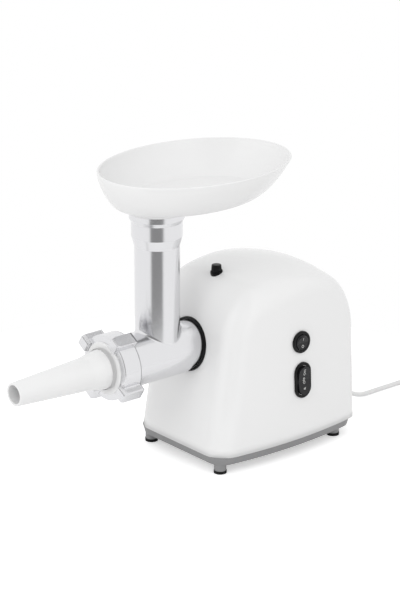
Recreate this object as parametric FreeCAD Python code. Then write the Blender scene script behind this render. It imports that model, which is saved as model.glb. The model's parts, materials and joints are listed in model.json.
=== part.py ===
import FreeCAD
import Part
import math
import os
from FreeCAD import Vector

# Electric meat grinder. Millimetres and degrees.
# x runs to the right seen from the front, z up from the floor, and y back from the housing's
# front bottom edge. Each piece is moved at the end so that the origin lies under the middle of the grinder.

# Housing
body_width = 130.0
body_depth = 189.0
side_bow = 9.0
base_line = 18.5
roof_height = 196.0
roof_radius = 190.0
roof_peak = 95.0
front_lean = 9.0
back_lean = 1.5
side_lean = 2.5
front_top_radius = 33.0
back_top_radius = 27.0
edge_radius = 20.0
wall = 2.6
seat_gap = 0.2

# Base
base_bottom = 10.0
base_top_inset = 1.0
base_bottom_inset = 3.5
base_rim_height = 5.0
base_rim_wall = 2.0
foot_spread = 108.8
front_foot = 12.0
back_foot = 166.0
foot_radius = 6.2
pad_radius = 6.6
pad_height = 3.0
vent_count = 9
vent_centre = 120.0
vent_length = 46.0
vent_width = 3.0
vent_pitch = 7.0
boss_spread = 116.0
front_boss = 30.0
back_boss = 150.0
boss_radius = 4.5
boss_top = 46.0
carrier_pad_top = 16.0
pad_margin = 4.0

# Screws
screw_radius = 1.7
screw_head_radius = 3.4
screw_head_height = 2.0
screw_bite = 20.0

# Grinder head
axis_height = 120.8
barrel_radius = 26.5
barrel_bore = 21.5
barrel_back = 3.0
collar_radius = 24.2
collar_back = 32.0
rear_wall = 10.0
tube_ahead = 23.4
tube_radius = 22.4
tube_bore = 19.5
tube_top = 267.5
flare_radius = 25.3
flare_start = 233.3
flare_end = 243.5
lip_radius = 27.4
lip_start = 262.0
lip_taper = 4.0
mouth_bore = 22.4
mouth_depth = 16.0
cove_radius = 3.0
journal_radius = 7.0
run_gap = 0.06

# Front end: plate, blade, funnel and ring nut
nut_front = -95.0
nut_length = 25.0
nut_radius = 33.0
nut_lip = 4.0
nut_opening = 22.6
lug_reach = 40.0
lug_width = 13.0
lug_turn = 57.0
lug_count = 4
thread_gap = 0.25
plate_radius = 23.2
plate_thickness = 5.0
plate_proud = 1.0
plate_hole = 2.5
plate_pitch = 6.2
key_width = 4.0
blade_thickness = 5.0
blade_radius = 20.6
blade_wings = 4
flange_thickness = 3.0
funnel_length = 104.0
funnel_tip_radius = 11.6
funnel_mid_radius = 16.6
funnel_shoulder_radius = 20.6
funnel_shoulder_length = 25.0
funnel_wall = 2.5

# Auger
auger_radius = 20.8
auger_core = 9.0
auger_pitch = 24.0
flight_root = 6.0
flight_tip = 3.0
washer_thickness = 1.5
washer_radius = 14.0
square_size = 9.0
drive_radius = 5.6
drive_depth = 9.5
blade_square = 9.0
pin_radius = 4.2

# Tray
tray_rim = 308.0
tray_centre = 25.2
tray_length = 211.8
tray_width = 155.6
tray_floor = 273.8
tray_floor_centre = 17.3
tray_floor_length = 162.4
tray_floor_width = 110.2
tray_curve = 1.31
tray_wall = 2.2
collar_flare = 8.0
spigot_depth = 14.0

# Socket and lock
socket_outer = 27.2
socket_wall = 2.7
socket_front = 12.3
socket_flange = 33.0
socket_flange_thickness = 3.0
button_place = 53.0
button_radius = 5.4
button_height = 8.5
button_ribs = 14
button_travel = 4.0
bezel_radius = 7.4
bezel_rise = 1.6
bezel_tube = 6.6
bezel_floor = 1.2
bezel_depth = 16.0
stem_radius = 2.4
hook_height = 164.0
hook_width = 7.0
hook_thickness = 2.2
hook_reach = 6.0
hook_pocket = 22.8
hook_groove = 16.3
hook_pocket_wall = 1.4
spring_radius = 4.2
spring_wire = 0.9
spring_turns = 5

# Switches
power_place = 105.0
power_height = 121.0
power_radius = 11.4
mode_place = 106.0
mode_height = 80.5
mode_width = 21.6
mode_length = 37.6
switch_rim = 2.4
switch_skirt = 1.4
switch_depth = 18.0
rocker_gap = 0.35
rocker_rise = 0.6
power_tilt = 9.0
mode_tilt = 8.0
pivot_radius = 1.2
terminal_width = 6.3
terminal_thickness = 0.8
terminal_length = 8.0

# Gear train, motor pinion first
pressure_angle = 25.0
tooth_addendum = 0.9
tooth_clearance = 0.25
backlash = 0.16
fast_module = 1.0
fast_pinion_teeth = 12
fast_wheel_teeth = 45
mid_module = 1.25
mid_pinion_teeth = 12
mid_wheel_teeth = 44
slow_module = 1.5
slow_pinion_teeth = 12
slow_wheel_teeth = 40
slow_width = 11.0
mid_width = 8.0
fast_width = 6.0
gear_gap = 1.6
second_axle_turn = 235.0
motor_x = 8.0
motor_drop = 58.5
axle_radius = 3.0
case_front = 36.0
case_wall = 3.0
case_room = 3.0
cover_thickness = 3.5
ear_radius = 4.5
case_foot_width = 46.0
case_foot_inset = 6.0
hub_radius = 5.5
coupling_radius = 11.0
bush_wall = 3.0
bush_length = 9.0
gear_seat_radius = 8.0
tail_radius = 5.0

# Motor
shaft_radius = 4.0
bearing_radius = 11.0
bearing_width = 7.0
stator_width = 64.0
stator_height = 62.0
stator_length = 42.0
stator_corner = 9.0
stator_ahead = 26.0
air_gap = 0.6
armature_radius = 18.0
armature_slots = 12
slot_width = 2.4
slot_depth = 6.0
coil_thickness = 6.0
coil_overhang = 9.0
pole_share = 0.75
window_share = 0.9
coil_parting = 0.35
commutator_radius = 11.0
commutator_length = 14.0
fan_radius = 21.5
fan_blades = 9
fan_width = 7.0
fan_disc = 1.5
vane_thickness = 1.4
brush_width = 6.0
brush_length = 13.0
brush_shell = 2.0
motor_screw_spread = 56.0
pillar_radius = 5.0
bracket_thickness = 4.0

# Lead
cord_diameter = 5.0
cord_exit_height = 24.2
gland_length = 20.0
gland_base_radius = 5.2
gland_tip_radius = 3.6
gland_grooves = 4
groove_depth = 0.7
gland_inside = 8.0
cord_grip = 10.0
bend_share = 0.45
coil_radius = 34.5
coil_half_turns = 11
coil_gap = 0.6
coil_start = 378.0
tie_thickness = 0.8
tie_gap = 0.35
tie_width = 8.0
plug_width = 33.0
plug_length = 30.0
plug_relief = 14.0
plug_tail = 20.0
plug_round = 6.0
pin_grip = 12.0
pin_spread = 18.6
pin_diameter = 4.8
pin_length = 19.0

# Places worked out from the sizes above
funnel_tip = nut_front - funnel_length
front_edge = -(funnel_tip + body_depth) / 2
middle = body_depth / 2
tube_axis = -tube_ahead
socket_inner = socket_outer - socket_wall
flange_front = nut_front + nut_lip
plate_front = flange_front + flange_thickness
plate_back = plate_front + plate_thickness
barrel_front = plate_front + plate_proud
blade_back = plate_back + blade_thickness
auger_back = collar_back - rear_wall - washer_thickness - run_gap
plate_pin_bore = pin_radius + run_gap
case_inside = case_front + case_wall
slow_plane = case_front + bush_length + 2 * gear_gap
mid_plane = slow_plane + slow_width + gear_gap
fast_plane = mid_plane + mid_width + gear_gap
cover_front = fast_plane + fast_width + gear_gap
cover_back = cover_front + cover_thickness
stator_front = cover_back + stator_ahead
stator_back = stator_front + stator_length
bracket_front = stator_back + coil_overhang + commutator_length
bracket_back = bracket_front + bracket_thickness
drive_end = case_front + drive_depth
motor_z = axis_height - motor_drop
slow_reach = slow_module * (slow_wheel_teeth + slow_pinion_teeth) / 2
mid_reach = mid_module * (mid_wheel_teeth + mid_pinion_teeth) / 2
fast_reach = fast_module * (fast_wheel_teeth + fast_pinion_teeth) / 2
second_x = slow_reach * math.cos(math.radians(second_axle_turn))
second_z = axis_height + slow_reach * math.sin(math.radians(second_axle_turn))
coil_pitch = cord_diameter + coil_gap
coil_low = cord_diameter / 2 + tie_gap + tie_thickness
coil_high = coil_low + coil_pitch
gland_tip = body_depth + gland_length
cord_radius = cord_diameter / 2
lead_start = coil_start - cord_diameter
up = Vector(0, 0, 1)
back = Vector(0, 1, 0)


def save(name, *solids):
    shape = solids[0] if len(solids) == 1 else Part.makeCompound(list(solids))
    shape = shape.copy()
    shape.translate(Vector(0, front_edge, 0))
    shape.exportStep("parts/" + name + ".step")
    print(name, len(shape.Solids), round(shape.Volume), shape.isValid())


def block(x0, x1, y0, y1, z0, z1):
    return Part.makeBox(x1 - x0, y1 - y0, z1 - z0, Vector(x0, y0, z0))


def rod(radius, start, end, x=0.0, z=axis_height):
    return Part.makeCylinder(radius, end - start, Vector(x, start, z), back)


def post(radius, bottom, top, x=0.0, y=0.0):
    return Part.makeCylinder(radius, top - bottom, Vector(x, y, bottom), up)


def outline(start, steps, place):
    # A step of two numbers is a straight line to that point, and one of four an arc through the first pair.
    edges = []
    here = place(*start)
    for step in list(steps) + [start]:
        there = place(*step[-2:])
        if len(step) == 4:
            edges.append(Part.Arc(here, place(*step[:2]), there).toShape())
        else:
            edges.append(Part.makeLine(here, there))
        here = there
    return Part.Face(Part.Wire(edges))


def turned(start, steps, x=0.0, z=axis_height):
    # A profile of radius and y, turned about a front-to-back axis.
    face = outline(start, steps, lambda r, y: Vector(x + r, y, z))
    return face.revolve(Vector(x, 0, z), back, 360)


def turned_upright(start, steps, x=0.0, y=0.0):
    # A profile of radius and z, turned about an upright axis.
    face = outline(start, steps, lambda r, z: Vector(x + r, y, z))
    return face.revolve(Vector(x, y, 0), up, 360)


def joined(*solids):
    shape = solids[0].fuse(list(solids[1:])) if len(solids) > 1 else solids[0]
    return shape.removeSplitter()


def cut(solid, *tools):
    return solid.cut(list(tools))


def side_arc():
    # Radius of each bowed side, and x of its centre at the base line.
    radius = (middle ** 2 + side_bow ** 2) / (2 * side_bow)
    centre = body_width / 2 + side_bow - radius / math.cos(math.radians(side_lean))
    return radius, centre


def side_point(y, z):
    # Where the right side stands at a given depth and height, with its outward and upward directions.
    radius, centre = side_arc()
    lean = math.radians(side_lean)
    reach = math.sqrt(radius ** 2 - (y - middle) ** 2)
    x = centre + (reach - (z - base_line) * math.sin(lean)) / math.cos(lean)
    outward = Vector(reach * math.cos(lean), y - middle, reach * math.sin(lean)).normalize()
    return Vector(x, y, z), outward, Vector(-math.sin(lean), 0, math.cos(lean))


def plan_wire(inset, z):
    # The base outline: straight front and back, bowed sides and round corners.
    radius, centre = side_arc()
    centre += radius / math.cos(math.radians(side_lean)) - radius
    round_y = edge_radius
    round_x = centre + math.sqrt((radius - edge_radius) ** 2 - (middle - round_y) ** 2)
    toward = Vector(round_x - centre, round_y - middle, 0).normalize()
    side = Vector(centre, middle, 0) + toward * (radius - inset)
    turn = (toward + Vector(0, -1, 0)).normalize()
    corner = Vector(round_x, round_y, 0) + turn * (edge_radius - inset)
    bulge = centre + radius - inset

    def spot(x, y):
        return Vector(x, y, z)

    far = body_depth
    edges = [
        Part.makeLine(spot(-round_x, inset), spot(round_x, inset)),
        Part.Arc(spot(round_x, inset), spot(corner.x, corner.y), spot(side.x, side.y)).toShape(),
        Part.Arc(spot(side.x, side.y), spot(bulge, middle), spot(side.x, far - side.y)).toShape(),
        Part.Arc(spot(side.x, far - side.y), spot(corner.x, far - corner.y),
                 spot(round_x, far - inset)).toShape(),
        Part.makeLine(spot(round_x, far - inset), spot(-round_x, far - inset)),
        Part.Arc(spot(-round_x, far - inset), spot(-corner.x, far - corner.y),
                 spot(-side.x, far - side.y)).toShape(),
        Part.Arc(spot(-side.x, far - side.y), spot(-bulge, middle), spot(-side.x, side.y)).toShape(),
        Part.Arc(spot(-side.x, side.y), spot(-corner.x, corner.y), spot(-round_x, inset)).toShape(),
    ]
    return Part.Wire(edges)


def plan_slab(bottom_inset, bottom, top_inset, top):
    return Part.makeLoft([plan_wire(bottom_inset, bottom), plan_wire(top_inset, top)], True, True)


def lean_corner(line_point, line_way, inward, radius):
    # Centre of the round between a leaning wall and the arched roof.
    roof = Vector(0, roof_peak, roof_height - roof_radius)
    start = line_point + inward * radius - roof
    along = start.dot(line_way)
    rest = start.dot(start) - (roof_radius - radius) ** 2
    return roof + start + line_way * (-along + math.sqrt(along ** 2 - rest))


def loaf(inset, bottom):
    # The housing's outer form, set in by a wall: an arched side profile carried across,
    # trimmed by two leaning bowed sides, with the long edges rounded.
    lean_front = math.radians(front_lean)
    lean_back = math.radians(back_lean)
    front_way = Vector(0, math.sin(lean_front), math.cos(lean_front))
    front_in = Vector(0, math.cos(lean_front), -math.sin(lean_front))
    back_way = Vector(0, -math.sin(lean_back), math.cos(lean_back))
    back_in = Vector(0, -math.cos(lean_back), -math.sin(lean_back))
    front_foot_point = Vector(0, 0, base_line)
    back_foot_point = Vector(0, body_depth, base_line)
    roof = Vector(0, roof_peak, roof_height - roof_radius)
    front_round = lean_corner(front_foot_point, front_way, front_in, front_top_radius)
    back_round = lean_corner(back_foot_point, back_way, back_in, back_top_radius)

    def wall_foot(point, way, inward):
        start = point + inward * inset
        return start + way * ((bottom - start.z) / way.z)

    def roof_touch(centre):
        return roof + (centre - roof).normalize() * (roof_radius - inset)

    def round_arc(start, centre, end, radius):
        bulge = ((start - centre) + (end - centre)).normalize()
        return Part.Arc(start, centre + bulge * (radius - inset), end).toShape()

    foot_front = wall_foot(front_foot_point, front_way, front_in)
    foot_back = wall_foot(back_foot_point, back_way, back_in)
    wall_front = front_round - front_in * (front_top_radius - inset)
    wall_back = back_round - back_in * (back_top_radius - inset)
    top_front = roof_touch(front_round)
    top_back = roof_touch(back_round)
    edges = [
        Part.makeLine(foot_front, wall_front),
        round_arc(wall_front, front_round, top_front, front_top_radius),
        Part.Arc(top_front, roof + up * (roof_radius - inset), top_back).toShape(),
        round_arc(top_back, back_round, wall_back, back_top_radius),
        Part.makeLine(wall_back, foot_back),
        Part.makeLine(foot_back, foot_front),
    ]
    face = Part.Face(Part.Wire(edges))
    face.translate(Vector(-body_width, 0, 0))
    solid = face.extrude(Vector(2 * body_width, 0, 0))
    radius, centre = side_arc()
    tall = 2 * roof_height
    lean = math.radians(side_lean)
    for sign in (1, -1):
        way = Vector(-sign * math.sin(lean), 0, math.cos(lean))
        foot = Vector(sign * centre, middle, base_line) - way * tall
        solid = solid.common(Part.makeCylinder(radius - inset, 2 * tall, foot, way))
    edges = []
    for edge in solid.Edges:
        ends = [v.Point for v in edge.Vertexes]
        same_side = ends[0].x * ends[-1].x > 0
        lies_low = max(p.z for p in ends) < bottom + 0.01
        if same_side and not lies_low:
            edges.append(edge)
    return solid.makeFillet(edge_radius - inset, edges)


def gear(module, teeth, width, bore, start, x, z, tooth_at):
    # Involute spur wheel with its axis front to back. tooth_at is the angle of one tooth's middle,
    # counted in the x-z plane from +x towards +z.
    pitch = module * teeth / 2
    base = pitch * math.cos(math.radians(pressure_angle))
    tip = pitch + tooth_addendum * module
    root = pitch - (tooth_addendum + tooth_clearance) * module
    flank_start = max(base, root)
    thickness = math.pi * module / 2 - backlash / 2

    def involute(radius):
        angle = math.acos(min(1.0, base / radius))
        return math.tan(angle) - angle

    def half(radius):
        return thickness / (2 * pitch) + involute(pitch) - involute(radius)

    def spot(radius, angle):
        return Vector(x + radius * math.cos(angle), start, z + radius * math.sin(angle))

    flank_mid = (flank_start + tip) / 2
    step = 2 * math.pi / teeth
    edges = []
    for index in range(teeth):
        turn = tooth_at + index * step
        rise = [spot(r, turn - half(r)) for r in (flank_start, flank_mid, tip)]
        fall = [spot(r, turn + half(r)) for r in (tip, flank_mid, flank_start)]
        foot = spot(root, turn - half(flank_start))
        heel = spot(root, turn + half(flank_start))
        following = spot(root, turn + step - half(flank_start))
        if flank_start > root:
            edges.append(Part.makeLine(foot, rise[0]))
        edges.append(Part.Arc(*rise).toShape())
        edges.append(Part.Arc(rise[2], spot(tip, turn), fall[0]).toShape())
        edges.append(Part.Arc(*fall).toShape())
        if flank_start > root:
            edges.append(Part.makeLine(fall[2], heel))
        edges.append(Part.Arc(heel, spot(root, turn + step / 2), following).toShape())
    disc = Part.Face(Part.Wire(edges)).extrude(Vector(0, width, 0))
    return cut(disc, rod(bore, start - 1, start + width + 1, x, z))


def bend(start, way, end):
    # The arc that leaves start along way and reaches end.
    chord = end - start
    run = Vector(chord).normalize()
    side = way - run * way.dot(run)
    sweep = way.getAngle(run)
    middle_point = start + chord * 0.5 + side.normalize() * (chord.Length / 2 * math.tan(sweep / 2))
    return Part.Arc(start, middle_point, end).toShape()


def biarc(start, way, end, end_way):
    # Two arcs that join smoothly, from one point and direction to another.
    span = end - start
    both = span.dot(way + end_way)
    spread = 2 * (1 - way.dot(end_way))
    reach = (-both + math.sqrt(both ** 2 + spread * span.dot(span))) / spread
    meet = (start + end + (way - end_way) * reach) * 0.5
    first = bend(start, way, meet)
    last = bend(end, end_way * -1, meet)
    return [first, last]


def pipe(edges, radius):
    path = Part.Wire(edges)
    begin = edges[0].Curve.tangent(edges[0].FirstParameter)[0]
    ring = Part.Wire(Part.makeCircle(radius, edges[0].valueAt(edges[0].FirstParameter), begin))
    solid = path.makePipeShell([ring], True, False)
    swept = math.pi * radius ** 2 * path.Length
    print("tube volume over section times length", round(solid.Volume / swept, 4))
    return solid


def own_gap(edges, diameter, skip):
    # Least clear distance of a wound tube to itself, measured on points along its path.
    points = []
    for edge in edges:
        points += edge.discretize(12)[:-1]
    least = None
    for i, a in enumerate(points):
        for b in points[i + skip:]:
            gap = a.distanceToPoint(b) - diameter
            least = gap if least is None else min(least, gap)
    return least


def place_on_side(solid, y, z):
    # Moves a piece drawn face up at the origin onto the right side: its x runs back and its y runs up.
    spot, outward, upward = side_point(y, z)
    moved = solid.copy()
    turn = FreeCAD.Rotation(upward.cross(outward), upward, outward, "ZXY")
    moved.Placement = FreeCAD.Placement(spot, turn).multiply(moved.Placement)
    return moved


def stadium(width, length, bottom, top):
    # A slab with round ends, long along y.
    radius = width / 2
    half = length / 2 - radius
    slab = block(-radius, radius, -half, half, bottom, top)
    return joined(slab, post(radius, bottom, top, 0, half), post(radius, bottom, top, 0, -half))


# Housing, base and feet

def bosses():
    spots = []
    for x in (-boss_spread / 2, boss_spread / 2):
        for y in (front_boss, back_boss):
            spots.append((x, y))
    return spots


def housing():
    outer = loaf(0, base_line)
    inner = loaf(wall, base_line - 1)
    shell = cut(outer, inner)
    boss_bottom = base_bottom + wall
    rib_bottom = base_line + base_rim_height + seat_gap
    rib = boss_radius / 2
    for x, y in bosses():
        web = block(min(x, 2 * x), max(x, 2 * x), y - rib / 2, y + rib / 2, rib_bottom, boss_top)
        stem = joined(post(boss_radius, boss_bottom, boss_top, x, y), web.common(outer))
        hole = post(screw_radius, boss_bottom - 1, boss_bottom + screw_bite, x, y)
        shell = cut(joined(shell, stem), hole)
    socket_hole = rod(socket_outer + seat_gap, -1, middle / 2)
    button_hole = post(bezel_tube + seat_gap, middle, 2 * roof_height, 0, button_place)
    power_hole = place_on_side(post(power_radius - switch_skirt + seat_gap, -4 * wall, wall), power_place,
                               power_height)
    mode_hole = stadium(mode_width - 2 * (switch_skirt - seat_gap),
                        mode_length - 2 * (switch_skirt - seat_gap),
                        -4 * wall, wall)
    mode_hole = place_on_side(mode_hole, mode_place, mode_height)
    gland_hole = rod(gland_base_radius + seat_gap, body_depth - 4 * wall, body_depth + wall, 0,
                     cord_exit_height)
    gland_slot = block(-gland_base_radius - seat_gap, gland_base_radius + seat_gap, body_depth - 4 * wall,
                       body_depth + wall, base_line - 1, cord_exit_height)
    return cut(shell, socket_hole, button_hole, power_hole, mode_hole, gland_hole, gland_slot)


def feet():
    spots = []
    for x in (-foot_spread / 2, foot_spread / 2):
        for y in (front_foot, back_foot):
            spots.append((x, y))
    return spots


def base_plate():
    tray = plan_slab(base_bottom_inset, base_bottom, base_top_inset, base_line)
    floor_top = base_bottom + wall
    rim_inset = wall + seat_gap
    rim_lean = base_rim_height * math.tan(math.radians(front_lean))
    rim = plan_slab(rim_inset, base_line, rim_inset + rim_lean, base_line + base_rim_height)
    inside = rim_inset + rim_lean + base_rim_wall
    hollow = plan_slab(base_bottom_inset + wall, floor_top, inside, base_line)
    well = plan_slab(inside, base_line, inside, 2 * base_line)
    gland_slot = block(-gland_base_radius - seat_gap, gland_base_radius + seat_gap, middle, body_depth,
                       base_line + seat_gap, 2 * base_line)
    plate = cut(joined(tray, rim), hollow, well, gland_slot)
    for x, y in feet():
        plate = joined(plate, post(foot_radius, pad_height, floor_top, x, y))
    case_pad = case_foot(floor_top, carrier_pad_top)
    reach = pillar_radius + pad_margin
    bracket_pad = block(motor_x - reach, motor_x + reach, bracket_front - pad_margin,
                        bracket_back + pad_margin,
                        floor_top, carrier_pad_top)
    plate = joined(plate, case_pad, bracket_pad)
    tools = []
    for x, y in bosses():
        tools.append(post(screw_radius + seat_gap, base_bottom - 1, floor_top + 1, x, y))
    for index in range(vent_count):
        y = vent_centre + (index - (vent_count - 1) / 2) * vent_pitch
        for x in (-vent_length - vent_pitch, vent_pitch):
            tools.append(block(x, x + vent_length, y - vent_width / 2, y + vent_width / 2, base_bottom - 1,
                               floor_top + 1))
    return cut(plate, *tools)


def foot_pads():
    return [post(pad_radius, 0, pad_height, x, y) for x, y in feet()]


def screw(radius, head_radius, head_height, length):
    # A screw that points up, with the underside of its head at the origin.
    return joined(post(radius, 0, length), post(head_radius, -head_height, 0))


def base_screws():
    made = []
    for x, y in bosses():
        one = screw(screw_radius, screw_head_radius, screw_head_height, wall + screw_bite)
        one.translate(Vector(x, y, base_bottom))
        made.append(one)
    return made


# Socket and lock

def roof_at(y):
    return roof_height - roof_radius + math.sqrt(roof_radius ** 2 - (y - roof_peak) ** 2)


def socket_ring():
    tube = cut(rod(socket_outer, socket_front, case_front),
               rod(socket_inner, socket_front - 1, case_front + 1))
    flange = cut(rod(socket_flange, case_front - socket_flange_thickness, case_front),
                 rod(socket_inner, socket_front, case_front + 1))
    half = hook_width / 2 + 2 * seat_gap
    slot = block(-half, half, collar_back - hook_reach, case_front + 1, axis_height,
                 axis_height + socket_flange)
    return cut(joined(tube, flange), slot)


def lock_bezel():
    top = roof_at(button_place)
    flange = post(bezel_radius, top - bezel_depth / 2, top + bezel_depth, 0, button_place)
    flange = cut(flange.common(loaf(-bezel_rise, base_line)), loaf(0, base_line))
    tube = post(bezel_tube, top - bezel_depth, top + bezel_rise, 0,
                button_place).common(loaf(-bezel_rise, base_line))
    bore = post(button_radius + seat_gap, top - bezel_depth + bezel_floor, top + bezel_depth, 0,
                button_place)
    stem_hole = post(stem_radius + seat_gap, top - bezel_depth - 1, top, 0, button_place)
    return cut(joined(flange, tube), bore, stem_hole)


def lock_button():
    top = roof_at(button_place) + bezel_rise + button_height
    shoulder = top - button_height - bezel_rise - 1
    cap = post(button_radius, shoulder, top, 0, button_place)
    rim = [edge for edge in cap.Edges if abs(edge.BoundBox.ZMin - top) < 0.01]
    cap = cap.makeFillet(button_radius / 8, rim)
    grooves = []
    for index in range(button_ribs):
        angle = 2 * math.pi * index / button_ribs
        x = button_radius * math.cos(angle)
        y = button_place + button_radius * math.sin(angle)
        grooves.append(post(button_radius / 12, top - button_height, top - button_radius / 6, x, y))
    stem = post(stem_radius, hook_height + hook_thickness, shoulder, 0, button_place)
    return joined(cut(cap, *grooves), stem)


def latch_hook():
    # A bent strip: an arm under the button's stem, a leg behind the collar and a tip in its pocket.
    half = hook_width / 2
    leg_back = case_front - seat_gap
    leg_front = leg_back - hook_thickness
    tip_top = axis_height + hook_pocket - seat_gap
    arm = block(-half, half, leg_front, button_place + half, hook_height, hook_height + hook_thickness)
    leg = block(-half, half, leg_front, leg_back, tip_top - hook_thickness, hook_height + hook_thickness)
    tip = block(-half, half, collar_back - hook_reach + seat_gap, leg_back, tip_top - hook_thickness,
                tip_top)
    return joined(arm, leg, tip)


def lock_spring():
    top = roof_at(button_place)
    low = top - bezel_depth + bezel_floor + spring_wire / 2 + seat_gap
    high = top - 1 - spring_wire / 2 - seat_gap
    pitch = (high - low) / spring_turns
    slope = pitch / (2 * math.pi * spring_radius)

    def spot(quarter):
        angle = quarter * math.pi / 2
        way = Vector(-math.sin(angle), math.cos(angle), slope).normalize()
        x = spring_radius * math.cos(angle)
        y = button_place + spring_radius * math.sin(angle)
        return Vector(x, y, low + pitch * quarter / 4), way

    edges = []
    for quarter in range(4 * spring_turns):
        edges += biarc(*spot(quarter), *spot(quarter + 1))
    print("spring gap to itself", round(own_gap(edges, spring_wire, 48), 2))
    return pipe(edges, spring_wire / 2)


# Grinder head and what it holds

def grinder_head():
    barrel = rod(barrel_radius, barrel_front, barrel_back)
    tube = post(tube_radius, axis_height, flare_start, 0, tube_axis)
    body = joined(barrel, tube)
    seam = []
    for edge in body.Edges:
        box = edge.BoundBox
        if box.ZMin > axis_height + 1 and box.ZMax < axis_height + barrel_radius + 1 and box.XLength > 1:
            seam.append(edge)
    body = body.makeFillet(cove_radius, seam)
    collar = rod(collar_radius, barrel_back - 1, collar_back)
    flare = turned_upright((0, flare_start), [(tube_radius, flare_start), (flare_radius, flare_end),
                           (flare_radius, lip_start - lip_taper), (lip_radius, lip_start), (lip_radius,
                                                                                            tube_top),
                           (0, tube_top)], 0, tube_axis)
    body = joined(body, collar, flare)
    bore = rod(barrel_bore, barrel_front - 1, collar_back - rear_wall)
    throat = post(tube_bore, axis_height, tube_top + 1, 0, tube_axis)
    mouth = post(mouth_bore, tube_top - mouth_depth, tube_top + 1, 0, tube_axis)
    seat = rod(plate_radius + seat_gap, barrel_front - 1, plate_back)
    journal = rod(journal_radius + run_gap, 0, collar_back + 1)
    groove = cut(rod(collar_radius - hook_pocket_wall - hook_thickness, collar_back - hook_reach,
                     collar_back + 1),
                 rod(hook_groove, 0, collar_back + 2))
    half = hook_width / 2 + seat_gap
    pocket = block(-half, half, collar_back - hook_reach, collar_back + 1, axis_height + hook_groove,
                   axis_height + hook_pocket)
    body = cut(body, bore, throat, mouth, seat, journal, groove, pocket)
    key = block(-key_width / 2, key_width / 2, barrel_front + seat_gap, plate_back,
                axis_height + plate_radius - key_width / 2,
                axis_height + plate_radius + wall / 2)
    return joined(body, key)


def grinding_plate():
    disc = rod(plate_radius, plate_front, plate_back)
    tools = [rod(plate_pin_bore, plate_front - 1, plate_back + 1)]
    half = key_width / 2 + seat_gap
    tools.append(block(-half, half, plate_front - 1, plate_back + 1,
                       axis_height + plate_radius - half - seat_gap,
                       axis_height + barrel_radius))
    rows = int(plate_radius / plate_pitch) + 1
    for row in range(-rows, rows + 1):
        for column in range(-rows, rows + 1):
            x = (column + row / 2) * plate_pitch
            z = row * plate_pitch * math.sqrt(3) / 2
            reach = math.hypot(x, z)
            inside = reach + plate_hole < plate_radius - 2 * key_width / 2
            if inside and reach > plate_pin_bore + plate_hole:
                tools.append(rod(plate_hole, plate_front - 1, plate_back + 1, x, axis_height + z))
    return cut(disc, *tools)


def cutting_blade():
    hub = rod(auger_core, plate_back + seat_gap, blade_back)
    wing_width = auger_core
    wings = []
    for index in range(blade_wings):
        wing = block(0, blade_radius, plate_back + seat_gap, blade_back, axis_height - wing_width / 2,
                     axis_height + wing_width / 4)
        wing.rotate(Vector(0, 0, axis_height), back, index * 360 / blade_wings)
        wings.append(wing)
    blade = joined(hub, *wings).common(rod(blade_radius, plate_back, blade_back + 1))
    half = blade_square / 2 + run_gap
    hole = block(-half, half, plate_back - 1, blade_back + 1, axis_height - half, axis_height + half)
    return cut(blade, hole)


def flight():
    # One screw thread swept along a helix, with its ends cut square by the core's length.
    start = blade_back
    length = auger_back - start
    helix = Part.makeHelix(auger_pitch, length + auger_pitch, auger_core)
    profile = outline((auger_core - 2, -flight_root / 2),
                      [(auger_radius, -flight_tip / 2), (auger_radius, flight_tip / 2),
                      (auger_core - 2, flight_root / 2)], lambda r, z: Vector(r, 0, z))
    thread = Part.Wire(helix).makePipeShell([profile.OuterWire], True, True)
    thread.rotate(Vector(0, 0, 0), Vector(1, 0, 0), -90)
    thread.translate(Vector(0, start - auger_pitch / 2, axis_height))
    return thread.common(rod(2 * auger_radius, start, auger_back))


def auger():
    core = rod(auger_core, blade_back, auger_back)
    half = blade_square / 2
    square = block(-half, half, plate_back + seat_gap, blade_back, axis_height - half, axis_height + half)
    pin = rod(pin_radius, plate_front + seat_gap, plate_back + seat_gap)
    square = square.common(rod(auger_core, plate_back, blade_back))
    journal = rod(journal_radius, auger_back, collar_back)
    body = joined(core, flight(), square, pin, journal)
    half = square_size / 2
    socket = block(-half, half, auger_back, collar_back + 1, axis_height - half, axis_height + half)
    return cut(body, socket.common(rod(drive_radius, 0, collar_back + 2)))


def auger_drive():
    half = square_size / 2
    bar = block(-half, half, auger_back, drive_end, axis_height - half, axis_height + half)
    return bar.common(rod(drive_radius, 0, drive_end))


def auger_washer():
    return cut(rod(washer_radius, auger_back, auger_back + washer_thickness),
               rod(journal_radius + run_gap, 0, collar_back))


def ring_nut():
    back_end = nut_front + nut_length
    body = rod(nut_radius, nut_front, back_end)
    lugs = []
    for index in range(lug_count):
        turn = lug_turn + index * 360 / lug_count
        lug = block(0, lug_reach, nut_front, back_end, axis_height - lug_width / 2,
                    axis_height + lug_width / 2)
        long_edges = [e for e in lug.Edges if e.BoundBox.XMin > lug_reach - 0.1 and e.BoundBox.YLength > 1]
        lug = lug.makeFillet(lug_width / 3, long_edges)
        lug.rotate(Vector(0, 0, axis_height), back, -turn)
        lugs.append(lug)
    body = joined(body, *lugs)
    bore = rod(barrel_radius + thread_gap, flange_front, back_end + 1)
    opening = rod(nut_opening, nut_front - 1, back_end)
    return cut(body, bore, opening)


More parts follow.
